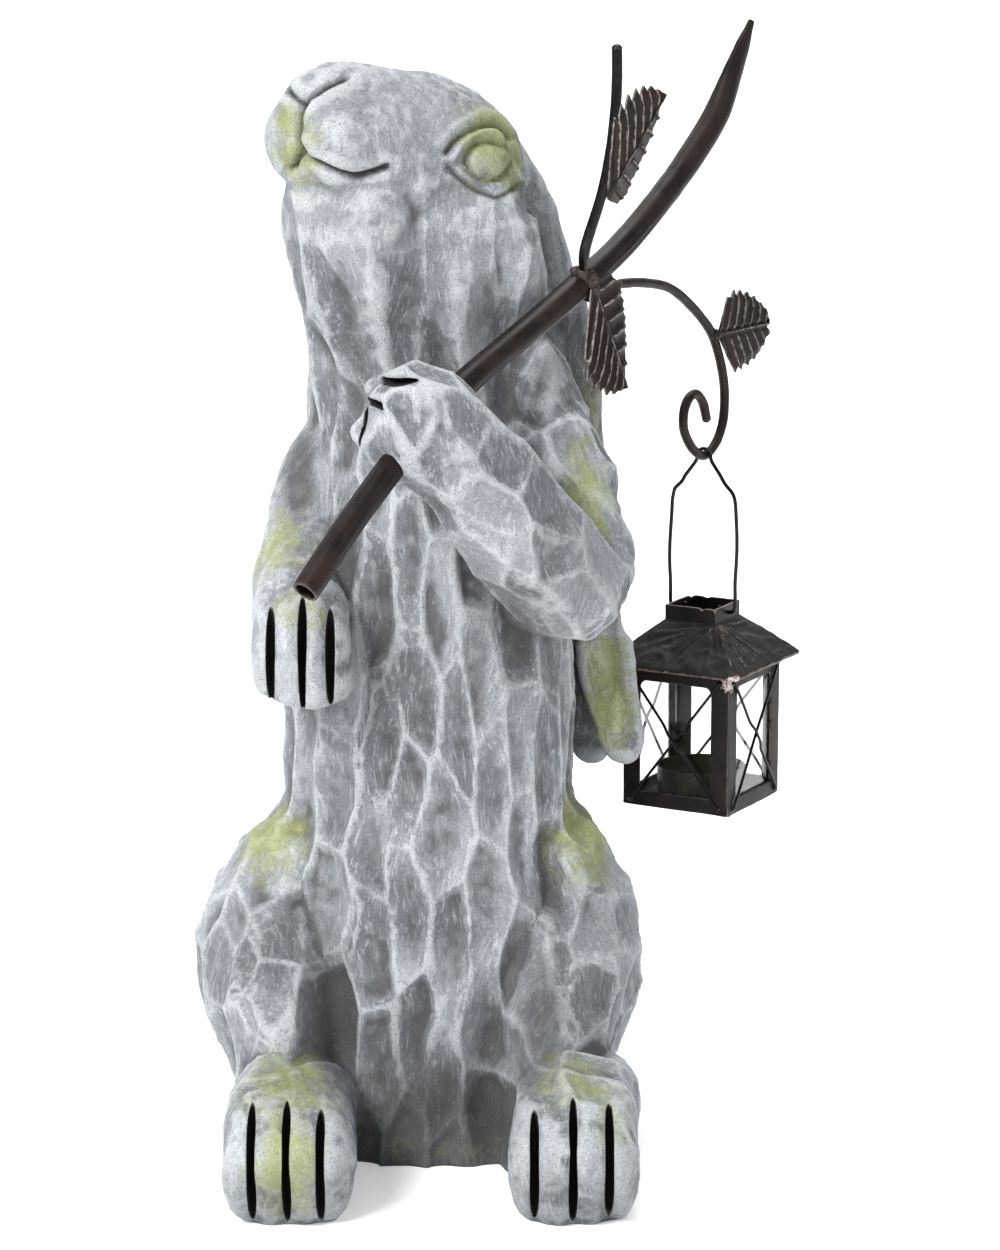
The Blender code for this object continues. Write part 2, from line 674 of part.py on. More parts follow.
def build_roof(parent, material):
    """Pressed tin: turned-down rim, four slopes and an open square collar with the bail's two holes."""
    eave = eave_side / 2
    collar = collar_side / 2
    levels = [(eave, eave_z - eave_drop), (eave, eave_z), (collar, -collar_height / 2),
              (collar, collar_height / 2)]
    mesh = bmesh.new()
    rings = []
    for half, z in levels:
        rings.append([mesh.verts.new((x * half, y * half, z)) for x, y in ((-1, -1), (1, -1), (1, 1), (-1, 1))])
    for lower, upper in zip(rings, rings[1:]):
        for k in range(4):
            n = (k + 1) % 4
            mesh.faces.new([lower[k], lower[n], upper[n], upper[k]])
    roof = new_object("lantern_roof", mesh, material, parent)
    solid = roof.modifiers.new("sheet", "SOLIDIFY")
    solid.thickness = tin_thick
    solid.offset = -1
    solid.use_even_offset = True
    holes = bmesh.new()
    radius = bail_diameter / 2 + pivot_hole_play
    bmesh.ops.create_cone(holes, cap_ends=True, segments=12, radius1=radius, radius2=radius,
                          depth=collar_side * 1.5, matrix=Matrix.Rotation(math.pi / 2, 4, "Y"))
    cut(roof, new_object("bail holes", holes, None, parent))
    return roof


def build_case(parent, material):
    """Folded tin case: four posts, a band on top, a rail and a floor below, open windows."""
    half = case_side / 2
    under_roof = (eave_side - case_side) / 2 * roof_slope - tin_thick * math.hypot(1, roof_slope)
    top_z = eave_z + under_roof - touch_gap
    mesh = bmesh.new()
    add_box(mesh, (-half, -half, floor_z), (half, half, top_z))
    case = new_object("lantern_case", mesh, material, parent)
    inside = bmesh.new()
    inner = half - tin_thick
    add_box(inside, (-inner, -inner, floor_z + tin_thick), (inner, inner, top_z + tin_thick))
    cut(case, new_object("case inside", inside, None, parent))
    wide = half - post_width
    low = floor_z + bottom_rail_height
    high = eave_z - top_band_height
    outline = [(-wide, low), (wide, low), (wide, high - window_corner), (wide - window_corner, high),
               (window_corner - wide, high), (-wide, high - window_corner)]
    for number in range(2):
        window = bmesh.new()
        turn = Matrix.Rotation(number * math.pi / 2, 3, "Z")
        ends = [[window.verts.new(turn @ Vector((x, y, z))) for x, z in outline] for y in (-case_side, case_side)]
        window.faces.new(ends[0])
        window.faces.new(ends[1][::-1])
        for k in range(len(outline)):
            n = (k + 1) % len(outline)
            window.faces.new([ends[0][n], ends[0][k], ends[1][k], ends[1][n]])
        cut(case, new_object(f"window cut {number + 1}", window, None, parent))
    return case


def build_cross_wires(parent, material):
    """Two crossed wires on each side; the second bows out over the first."""
    lift = case_side / 2 + cross_wire_diameter / 2 + touch_gap
    low = floor_z + cross_wire_diameter * 2
    high = eave_z - top_band_height + 0.003
    out = case_side / 2 - cross_wire_inset
    over = cross_wire_diameter + touch_gap
    for number in range(4):
        turn = Matrix.Rotation(number * math.pi / 2, 3, "Z")
        for hand, bows in ((1, ((0, 0), (1, 0))), (-1, ((0, 0), (0.36, 0), (0.44, 1), (0.56, 1), (0.64, 0), (1, 0)))):
            points = []
            for t, bow in bows:
                place = Vector((hand * out * (2 * t - 1), -lift - bow * over, low + (high - low) * t))
                points.append(turn @ place)
            name = f"cross_wire_{number + 1}{'a' if hand > 0 else 'b'}"
            new_rod(name, points, cross_wire_diameter, material, parent, roundness=1)


def build_panes(parent, material):
    """Four glass panes behind the windows."""
    face = case_side / 2 - tin_thick - touch_gap
    low = floor_z + tin_thick + touch_gap
    high = eave_z - touch_gap
    for number in range(4):
        wide = face if number % 2 == 0 else face - pane_thick - touch_gap
        mesh = bmesh.new()
        add_box(mesh, (-wide, -face, low), (wide, -face + pane_thick, high))
        bmesh.ops.rotate(mesh, cent=(0, 0, 0), matrix=Matrix.Rotation(number * math.pi / 2, 3, "Z"),
                         verts=mesh.verts)
        new_object(f"glass_pane_{number + 1}", mesh, material, parent)


def build_cup(parent, material):
    """An open tin cup for a small candle, standing on the floor."""
    low = floor_z + tin_thick + touch_gap
    mesh = bmesh.new()
    bmesh.ops.create_cone(mesh, cap_ends=True, segments=28, radius1=cup_diameter / 2, radius2=cup_diameter / 2,
                          depth=cup_height, matrix=Matrix.Translation((0, 0, low + cup_height / 2)))
    cup = new_object("candle_cup", mesh, material, parent, smooth_angle=40)
    inside = bmesh.new()
    radius = cup_diameter / 2 - tin_thick
    bmesh.ops.create_cone(inside, cap_ends=True, segments=28, radius1=radius, radius2=radius, depth=cup_height,
                          matrix=Matrix.Translation((0, 0, low + tin_thick + cup_height / 2)))
    cut(cup, new_object("cup inside", inside, None, parent))
    return cup


def build_lantern(tin, wire, glass):
    """The bail and the lantern share one empty on the bail's axis, straight below the hook."""
    pivot = bpy.data.objects.new("lantern pivot", None)
    bpy.context.scene.collection.objects.link(pivot)
    hung = hook_place(*hook_route[hook_low])
    drop = bail_height - (hook_diameter + bail_diameter) / 2 - touch_gap
    pivot.location = (hung[0], hung[1], hung[2] - drop)
    pivot.rotation_euler = (0, 0, lantern_turn)
    build_bail(pivot, wire)
    build_roof(pivot, tin)
    build_case(pivot, tin)
    build_cross_wires(pivot, wire)
    build_panes(pivot, glass)
    build_cup(pivot, tin)


def main():
    for thing in list(bpy.data.objects):
        bpy.data.objects.remove(thing, do_unlink=True)
    stone = make_material("stone", (0.36, 0.38, 0.40), 0.9, 0.0)
    iron = make_material("dark_iron", (0.030, 0.022, 0.018), 0.45, 0.6)
    tin = make_material("black_tin", (0.018, 0.016, 0.016), 0.5, 0.4)
    glass = make_material("clear_glass", (0.95, 0.97, 0.97), 0.03, 0.0, 0.25)
    build_rabbit(stone)
    build_branch(iron)
    build_twig(iron)
    new_rod("hook_arm", smooth_rows(hook_points(), 2), hook_diameter, iron)
    build_leaves(iron)
    build_lantern(tin, iron, glass)


main()
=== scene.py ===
import math

import bmesh
import bpy
import numpy as np
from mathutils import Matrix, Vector


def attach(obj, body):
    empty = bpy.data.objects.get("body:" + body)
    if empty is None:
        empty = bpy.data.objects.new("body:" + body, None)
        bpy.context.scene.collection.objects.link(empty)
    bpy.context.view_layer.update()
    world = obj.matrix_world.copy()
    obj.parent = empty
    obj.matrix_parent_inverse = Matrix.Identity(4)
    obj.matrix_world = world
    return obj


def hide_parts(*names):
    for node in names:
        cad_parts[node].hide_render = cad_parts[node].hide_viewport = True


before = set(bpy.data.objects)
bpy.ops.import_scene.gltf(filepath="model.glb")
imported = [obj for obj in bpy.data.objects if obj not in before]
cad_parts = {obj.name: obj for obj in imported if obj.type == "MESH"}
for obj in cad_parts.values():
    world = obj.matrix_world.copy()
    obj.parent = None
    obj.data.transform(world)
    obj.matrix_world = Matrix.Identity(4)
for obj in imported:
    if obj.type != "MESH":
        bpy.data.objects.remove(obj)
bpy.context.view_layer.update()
print("frame loaded")

mm = 0.001

# Grids, paths and tubes as whole arrays


def smoothPath(rows, steps):
    # Catmull-Rom: each piece is a cubic through two rows, with slopes taken from their neighbours
    rows = np.asarray(rows, float)
    knots = np.vstack([2 * rows[0] - rows[1], rows, 2 * rows[-1] - rows[-2]])
    a, b, c, d = knots[:-3, None], knots[1:-2, None], knots[2:-1, None], knots[3:, None]
    t = (np.arange(steps) / steps)[None, :, None]
    square, cube = 2 * a - 5 * b + 4 * c - d, 3 * b - a - 3 * c + d
    curve = 0.5 * (2 * b + (c - a) * t + square * t ** 2 + cube * t ** 3)
    return np.vstack([curve.reshape(-1, rows.shape[1]), rows[-1:]])


def unit(v):
    v = np.asarray(v, float)
    return v / np.linalg.norm(v, axis=-1, keepdims=True)


def ramp(x, low, high):
    t = np.clip((x - low) / (high - low), 0, 1)
    return t * t * (3 - 2 * t)


def bell(x, width):
    return np.exp(-(x / width) ** 2)


def tubeGrid(centres, sideRadii, frontRadii, side, sides, squareness=2.0):
    # ring k of station i: centre + side * r * |cos|^(2/q) + front * r * |sin|^(2/q), signs kept
    centres = np.asarray(centres, float)
    along = unit(np.gradient(centres, axis=0))
    side = np.asarray(side, float)
    across = unit(side - along * (along @ side)[:, None])
    front = np.cross(along, across)
    turn = 2 * np.pi * np.arange(sides) / sides
    c = np.sign(np.cos(turn)) * np.abs(np.cos(turn)) ** (2 / squareness)
    s = np.sign(np.sin(turn)) * np.abs(np.sin(turn)) ** (2 / squareness)
    sideRadii = np.broadcast_to(sideRadii, len(centres))
    frontRadii = np.broadcast_to(frontRadii, len(centres))
    rings = centres[:, None] + across[:, None] * (sideRadii[:, None] * c)[..., None]
    return rings + front[:, None] * (frontRadii[:, None] * s)[..., None]


def gridFaces(rows, columns, first=0, closed=(False, False)):
    # quads between neighbouring rows and columns; either way can run round to its first one again
    counts = [count if whole else count - 1 for count, whole in zip((rows, columns), closed)]
    r, c = np.meshgrid(np.arange(counts[0]), np.arange(counts[1]), indexing="ij")
    u, n = (r + 1) % rows, (c + 1) % columns
    quads = np.stack([r * columns + c, r * columns + n, u * columns + n, u * columns + c], -1)
    return (quads.reshape(-1, 4) + first).tolist()


def tubeFaces(rows, columns):
    cap = np.arange(columns)
    ends = [cap[::-1].tolist(), ((rows - 1) * columns + cap).tolist()]
    return gridFaces(rows, columns, closed=(False, True)) + ends


def joined(parts):
    # several (vertices, faces) as one
    vertices, faces, first = [], [], 0
    for v, f in parts:
        v = np.asarray(v, float).reshape(-1, 3)
        vertices.append(v)
        faces += [[first + i for i in face] for face in f]
        first += len(v)
    return np.vstack(vertices), faces


def box(low, high):
    corners = np.array(np.meshgrid(*zip(low, high), indexing="ij")).reshape(3, -1).T
    return corners, [[0, 1, 3, 2], [4, 6, 7, 5], [0, 4, 5, 1], [2, 3, 7, 6], [0, 2, 6, 4], [1, 5, 7, 3]]


def closedTube(centres, sideRadii, frontRadii, side, sides, squareness=2.0):
    rings = tubeGrid(centres, sideRadii, frontRadii, side, sides, squareness)
    return rings.reshape(-1, 3), tubeFaces(len(rings), sides)


def rod(centres, radius, side, sides=12):
    # a round rod; each end is closed by a dome of three rings: radius * cos, pushed out by radius * sin
    centres = np.asarray(centres, float)
    angle = np.radians([80, 55, 28])
    push = (radius * np.sin(angle) * 0.8)[:, None]
    head = centres[0] - unit(centres[1] - centres[0]) * push
    tail = centres[-1] + unit(centres[-1] - centres[-2]) * push
    radii = radius * np.concatenate([np.cos(angle), np.ones(len(centres)), np.cos(angle)[::-1]])
    return closedTube(np.vstack([head, centres, tail[::-1]]), radii, radii, side, sides)


def newPiece(name, vertices, faces, material, smoothAngle=None):
    data = bpy.data.meshes.new(name)
    data.from_pydata(np.asarray(vertices, float).reshape(-1, 3).tolist(), [], faces)
    mesh = bmesh.new()
    mesh.from_mesh(data)
    bmesh.ops.recalc_face_normals(mesh, faces=mesh.faces)
    mesh.to_mesh(data)
    mesh.free()
    if smoothAngle is not None:
        data.shade_smooth()
        data.set_sharp_from_angle(angle=math.radians(smoothAngle))
    piece = bpy.data.objects.new(name, data)
    bpy.context.scene.collection.objects.link(piece)
    if material is not None:
        data.materials.append(material)
    return piece


def settled(piece):
    # the piece's modifiers turned into its mesh
    graph = bpy.context.evaluated_depsgraph_get()
    data = bpy.data.meshes.new_from_object(piece.evaluated_get(graph))
    piece.modifiers.clear()
    piece.data = data
    return piece


def readPoints(data, what="co"):
    values = np.empty(len(data.vertices) * 3, np.float32)
    data.vertices.foreach_get(what, values)
    return values.reshape(-1, 3).astype(float)


def writePoints(data, points):
    data.vertices.foreach_set("co", np.asarray(points, np.float32).ravel())
    data.update()


def writeMask(data, name, values):
    layer = data.attributes.get(name) or data.attributes.new(name, "FLOAT", "POINT")
    layer.data.foreach_set("value", np.clip(values, 0, 1).astype(np.float32))


def edgeEnds(data):
    ends = np.empty(len(data.edges) * 2, np.int32)
    data.edges.foreach_get("vertices", ends)
    return ends.reshape(-1, 2)


def spread(values, ends, rounds, factor=0.5):
    # each round moves a vertex's value part of the way to the mean of its neighbours
    count = np.bincount(ends.ravel(), minlength=len(values)).astype(float)
    flat = values.reshape(len(values), -1).astype(float)
    for _ in range(rounds):
        total = np.stack([np.bincount(ends[:, 0], flat[ends[:, 1], k], len(flat))
                          + np.bincount(ends[:, 1], flat[ends[:, 0], k], len(flat))
                          for k in range(flat.shape[1])], axis=1)
        flat = flat + factor * (total / count[:, None] - flat)
    return flat.reshape(values.shape)


def hashed(cells, salt):
    # a steady number from 0 to 1 for each row of whole numbers
    return np.modf(np.abs(np.sin(cells @ np.array([127.1, 311.7, 74.7]) + salt) * 43758.5453))[0]


def softNoise(points, size, salt=0.0):
    # value noise: numbers on a lattice of the given size, blended smoothly between the eight corners
    q = points / np.asarray(size, float)
    base = np.floor(q)
    t = q - base
    t = t * t * (3 - 2 * t)
    total = np.zeros(len(q))
    for corner in np.ndindex(2, 2, 2):
        weight = np.prod(np.where(np.array(corner) == 1, t, 1 - t), axis=1)
        total += weight * hashed(base + np.array(corner), salt)
    return 2 * total - 1


def gouges(q, ring=0):
    # scattered centres on a lattice whose rows are staggered: square of the distance to the nearest one,
    # gap to the second nearest, the nearest one's own number, and the slope of its own slanted plane;
    # with a ring, x counts that many cells round a body and starts again, and y is left out
    jitter = 0.5
    base = np.floor(q)
    first, second = np.full((2, len(q)), 9.0)
    own, slant = np.zeros((2, len(q)))
    for shift in np.ndindex(3, 1 if ring else 3, 3):
        cells = base + np.array(shift) - np.array([1, 0 if ring else 1, 1])
        keys = cells.copy()
        if ring:
            keys[:, 0] = np.mod(cells[:, 0] + ring / 2, ring) - ring / 2
        centre = cells + 0.5 + jitter * (np.stack([hashed(keys, k) for k in (0, 19, 47)], axis=1) - 0.5)
        centre[:, 2] += 0.25 * np.cos(np.pi * (cells[:, 0] + cells[:, 1]))
        if ring:
            centre[:, 1] = q[:, 1]
        off = q - centre
        far = np.linalg.norm(off, axis=1)
        nearer = far < first
        number = hashed(keys, 83)
        lean = off[:, 0] * (number - 0.5) + off[:, 2] * (hashed(keys, 61) - 0.5)
        own = np.where(nearer, number, own)
        slant = np.where(nearer, lean, slant)
        second = np.minimum(second, np.maximum(first, far))
        first = np.minimum(first, far)
    return np.stack([first ** 2, second - first, own, slant])


# The rabbit: closed limbs, one skin over them, then the carving

rabbitPose = {
    "torso": [
        (0, 4, -14, 60, 62), (0, 4, 10, 64, 65), (0, 3, 60, 66, 66), (0, 2, 120, 66, 65),
        (0, 2, 175, 65, 62), (0, 2, 230, 65, 58), (1, 2, 280, 62, 54), (1, 1, 325, 54, 50),
        (0, -1, 360, 52, 47), (-1, -6, 392, 55, 47), (-5, -12, 425, 55, 46), (-2, -10, 446, 46, 38)],
    "haunch": [
        (79, 6, 133, 10, 16), (76, 3, 125, 22, 36), (71, 0, 104, 31, 50), (68, -4, 80, 34, 60),
        (65, -10, 58, 32, 66), (61, -16, 34, 26, 68), (60, -16, 10, 22, 66), (60, -16, -14, 20, 62)],
    "hip": [(51, 4, 164, 8, 14), (55, 4, 151, 12, 26), (61, 2, 138, 18, 36), (66, 0, 124, 20, 42),
            (66, 0, 104, 18, 42)],
    "foot": [
        (0, -30, 24, 25, 26), (0, -60, 27, 27, 29), (0, -90, 28, 28, 31), (0, -115, 26, 29, 31),
        (0, -131, 22, 28.5, 28), (0, -140, 19, 25, 23), (0, -145, 17, 18, 14)],
    "throat": [
        (-34, -42, 446, 32, 20), (-33, -41, 426, 34, 25), (-25, -34, 400, 33, 27), (-15, -27, 374, 30, 28),
        (-7, -19, 345, 29, 28), (-2, -10, 308, 27, 23)],
    "lowArm": [
        (-30, -6, 334, 16, 18), (-42, -12, 314, 20, 21), (-53, -20, 290, 19, 22), (-58, -34, 268, 19, 22),
        (-56, -54, 260, 21, 22), (-53, -70, 251, 22, 20), (-54, -76, 241, 22.8, 18),
        (-54.5, -76, 233, 22.5, 16.5), (-54.5, -75, 226.5, 20.5, 13.5), (-54.5, -74, 223.5, 13, 8)],
    "highArm": [
        (30, -4, 372, 18, 18), (42, -12, 348, 25, 26), (52, -22, 316, 27, 28), (65, -32, 286, 25, 25),
        (67, -42, 267, 23, 23), (58, -58, 275, 25, 25), (40, -74, 300, 26, 25), (22, -90, 326, 25, 23),
        (6, -98, 344, 26, 24), (-9, -103, 353, 25, 23), (-22, -107, 358, 17, 16)],
    "nearEar": [
        (10, 16, 474, 14, 12), (26, 22, 450, 18, 12), (44, 26, 412, 20, 11), (60, 28, 345, 18, 9),
        (69, 28, 306, 16, 8), (75, 25, 270, 14, 7), (79, 21, 240, 13, 6.5), (82, 17, 208, 13, 6.5),
        (87, 15, 190, 13, 6.5), (90, 14, 177, 10.5, 6), (91, 14, 169, 4, 4)],
    "farEar": [
        (16, 24, 462, 14, 12), (32, 32, 430, 20, 12), (46, 38, 380, 22, 11), (56, 40, 320, 22, 10),
        (66, 38, 270, 17, 9), (70, 33, 230, 14, 8), (72, 30, 200, 13, 7), (75, 29, 180, 12, 6.5),
        (77, 29, 169, 9, 6), (77, 29, 164, 4, 4)],
    "tail": [(0, 52, 50, 12, 12), (0, 62, 48, 22, 22), (0, 76, 46, 25, 24), (0, 88, 46, 18, 17),
             (0, 95, 46, 6, 6)],
    "skull": [                      # along the snout, up, half width, half height, in the head's own frame
        (-36, -2, 10, 12), (-30, -2, 24, 24), (-14, -1, 37, 38), (8, 1, 41, 43), (30, 2, 39, 42),
        (48, 5, 35, 37), (62, 7, 32, 33), (74, 7, 27, 29), (84, 6, 20, 22), (90, 5, 8, 10)],
    "headLumps": [                  # muzzle, sockets of the eyes, chin and nose: middle and half sizes
        ((71, -13, 3), (19, 16, 20)), ((10, -31, 10), (17, 10, 15)),
        ((71, 13, 3), (19, 16, 20)), ((10, 31, 10), (17, 10, 15)),
        ((56, 0, -20), (22, 22, 17)), ((74, 0, 20), (13, 13, 10))],
    "footMiddles": (-59.5, 65.5),
    "haunchShifts": (-8, -0.5),       # right haunch moved in, left one mirrored and moved too
    "throatSide": (0.68, -0.73, 0),
    "headCentre": (6, -4, 442),
    "headTurn": math.radians(47),
    "headPitch": math.radians(17),
}

rabbitFinish = {
    "voxel": 0.00145,
    "softening": 14,
    "triangles": 190000,
    "limbSides": 40,
    "facetRing": 22,                # facets round the body
    "facet": (54, 11.0),            # height and depth
    "armFacet": (19, 36, 9.0),      # width, height and depth
    "haunchFacet": (24, 34, 11.0),
}


def headAxes():
    turn, pitch = rabbitPose["headTurn"], rabbitPose["headPitch"]
    level = math.cos(pitch)
    forward = np.array([-math.sin(turn) * level, -math.cos(turn) * level, math.sin(pitch)])
    sideways = np.array([math.cos(turn), -math.sin(turn), 0.0])
    return np.stack([forward, sideways, np.cross(forward, sideways)])


def headPoint(f, s, h):
    return np.array(rabbitPose["headCentre"]) + np.array([f, s, h]) @ headAxes()


def ball(centre, radii, axes, rings=22, sides=32):
    # an egg: centre + axes * radii * (sin v cos u, sin v sin u, cos v)
    v = np.linspace(math.pi - 0.02, 0.02, rings)[:, None]
    u = 2 * np.pi * np.arange(sides)[None] / sides
    local = np.stack([np.sin(v) * np.cos(u), np.sin(v) * np.sin(u), np.cos(v) * np.ones_like(u)], -1)
    points = (local * np.array(radii)) @ np.asarray(axes, float) + centre
    return points.reshape(-1, 3), tubeFaces(rings, sides)


def limb(stations, side, squareness=2.0):
    rows = smoothPath(stations, 6)
    return closedTube(rows[:, :3], rows[:, 3], rows[:, 4], side, rabbitFinish["limbSides"], squareness)


def shifted(stations, offset, mirror=1):
    rows = np.array(stations, float)
    rows[:, 0] = rows[:, 0] * mirror + offset
    return rows


def rabbitLimbs():
    pose = rabbitPose
    right = (1, 0, 0)
    parts = [limb(pose["torso"], right, 2.2),
             limb(shifted(pose["haunch"], pose["haunchShifts"][0]), right, 2.1),
             limb(shifted(pose["haunch"], pose["haunchShifts"][1], -1), right, 2.1),
             limb(pose["hip"], right), limb(shifted(pose["hip"], 0, -1), right)]
    parts += [limb(shifted(pose["foot"], middle), right, 2.7) for middle in pose["footMiddles"]]
    parts += [limb(pose[name], right) for name in ("lowArm", "nearEar", "farEar", "tail")]
    parts.append(limb(pose["throat"], pose["throatSide"]))
    parts.append(limb(pose["highArm"], (0.4, 1, 0.5)))
    axes = headAxes()
    rows = smoothPath(pose["skull"], 6)
    centres = np.array(pose["headCentre"]) + rows[:, :1] * axes[0] + rows[:, 1:2] * axes[2]
    parts.append(closedTube(centres, rows[:, 2], rows[:, 3], axes[1], rabbitFinish["limbSides"]))
    parts += [ball(headPoint(*middle), radii, axes) for middle, radii in pose["headLumps"]]
    return joined(parts)


# Lines of the face in the head's frame: forwards, sideways, up, in millimetres

faceLines = {
    "mouth": [(84, 3, -5), (82.6, 7, -7.6), (81, 12, -9.5), (76, 18.6, -11.3), (69, 22, -11.2),
              (63, 25, -8), (58, 29, -4)],
    "mouthLeft": [(84, 3, -5), (83.3, 0, -11), (79, -8, -12), (72, -16, -11.5), (64, -22, -8),
                  (58, -27, -4)],
    "noseRight": [(90.7, 4.2, 14), (89, 8.2, 18.7), (86, 11, 23.6), (78.6, 13.4, 29.4)],
    "noseLeft": [(90.7, 4.2, 14), (90.3, -2.3, 16.7), (87.8, -11, 19.3), (82, -18, 21)],
    "philtrum": [(90.7, 4.2, 14), (89.4, 3.1, 7.3), (87, 2, 0.3), (84, 3, -5)],
    "upperLid": [(30.6, 38.2, 7.1), (26, 38.1, 14.8), (15.6, 35.6, 21), (6.5, 36.1, 22.2),
                 (-0.8, 35.8, 17.5), (-5, 37.5, 12.8), (-20.2, 31.8, 6.2)],
    "brow": [(32.8, 37.5, 8.8), (28.6, 37.5, 15.1), (13.4, 34.3, 24), (1.2, 30.7, 26.1), (-7.8, 31.3, 23.7)],
    "browRidge": [(37, 36, 12), (31, 35, 20), (15, 31, 29), (1, 28, 31), (-11, 29, 27)],
    "lowerRim": [(21.5, 38.4, 4.8), (12, 39.8, 2.1), (1, 39.9, 2.3)],
    "lowerLid": [(31.2, 38.4, 2.6), (22.7, 39.8, -1.6), (10.4, 43.2, -4), (2.4, 43.8, -3.5),
                 (-14.2, 36.4, 4.8)],
}
eyeShape = {"centre": (14, 43.9, 9.5), "ball": (8.6, 7.2), "rise": 1.7}


def lineDistance(points, line):
    # least distance to a line of straight runs
    nearest = np.full(len(points), 1e3)
    for a, b in zip(np.array(line[:-1], float), np.array(line[1:], float)):
        run = b - a
        t = np.clip((points - a) @ run / (run @ run), 0, 1)
        nearest = np.minimum(nearest, np.linalg.norm(points - a - t[:, None] * run, axis=1))
    return nearest


def faceRelief(p, n):
    # heights over the head and the painted shade in its grooves and round the eyes: distances are measured
    # square to the line of sight from the front, so a groove keeps its place however full the muzzle is
    axes, headCentre = headAxes(), np.array(rabbitPose["headCentre"])
    local = (p - headCentre) @ axes.T
    gaze = unit(axes @ (np.array(studio["camera"]) / mm - headCentre))
    onHead = ramp(p[:, 2], 412, 422)
    seen = ramp((n @ axes.T) @ gaze, -0.05, 0.25)
    front = ramp(local[:, 0], 42, 54) * onHead * seen
    height, dark = np.zeros((2, len(p)))

    def viewDistance(points, name):
        line = smoothPath(faceLines[name], 4)
        return lineDistance(points - (points @ gaze)[:, None] * gaze, line - (line @ gaze)[:, None] * gaze)

    for name, deep, wide in (("mouth", 3.6, 1.3), ("mouthLeft", 3.4, 1.3), ("noseRight", 2.6, 1.5),
                             ("noseLeft", 2.4, 1.5), ("philtrum", 4.2, 1.3)):
        far = viewDistance(local, name)
        lip = 0.25 * deep * bell(far - 3.4 * wide, 2.0 * wide)
        height -= (deep * bell(far, wide) - lip) * front
        # painted shade along each groove of the mouth and nose
        dark = np.maximum(dark, bell(far, 0.85) * front)
    mirrored = local.copy()
    mirrored[:, 1] = np.abs(mirrored[:, 1])
    side = ramp(mirrored[:, 1], 16, 26) * onHead * (1 - ramp(local[:, 0], 40, 50))
    off = mirrored - np.array(eyeShape["centre"])
    off = off - (off @ gaze)[:, None] * gaze
    level = unit(np.cross(gaze, (0, 0, 1)))
    out = np.hypot(off @ level / eyeShape["ball"][0], off @ np.cross(level, gaze) / eyeShape["ball"][1])
    eye = eyeShape["rise"] * np.clip(1 - out ** 2, 0, 1) ** 0.6 - 1.7 * bell(out - 1.14, 0.17)
    # painted shade in the ring round the eyeball; the brow and lower lid lines add more below
    shade = np.maximum(0.85 * bell(out - 1.14, 0.09), 0.3 * bell(out - 1.2, 0.3))
    for name, high, wide in (("upperLid", 2.6, 1.5), ("lowerRim", 1.3, 1.1), ("lowerLid", -1.6, 1.3),
                             ("brow", -2.4, 1.5), ("browRidge", 1.4, 2.6)):
        far = viewDistance(mirrored, name)
        eye += high * bell(far, wide)
        if high < 0:
            shade = np.maximum(shade, 0.8 * bell(far, 0.9))
    return height + eye * side, np.maximum(dark, 0.75 * shade * side)


def limbDistance(p, stations, low, high):
    # distance to a limb's middle line, as a share of its half width
    rows = smoothPath(np.array(stations, float)[low:high], 5)
    gap = np.full(len(p), 1e3)
    for a, b in zip(rows[:-1], rows[1:]):
        run = b[:3] - a[:3]
        t = np.clip((p - a[:3]) @ run / (run @ run), 0, 1)
        wide = a[3] + (b[3] - a[3]) * t
        gap = np.minimum(gap, np.linalg.norm(p - a[:3] - t[:, None] * run, axis=1) / wide)
    return gap


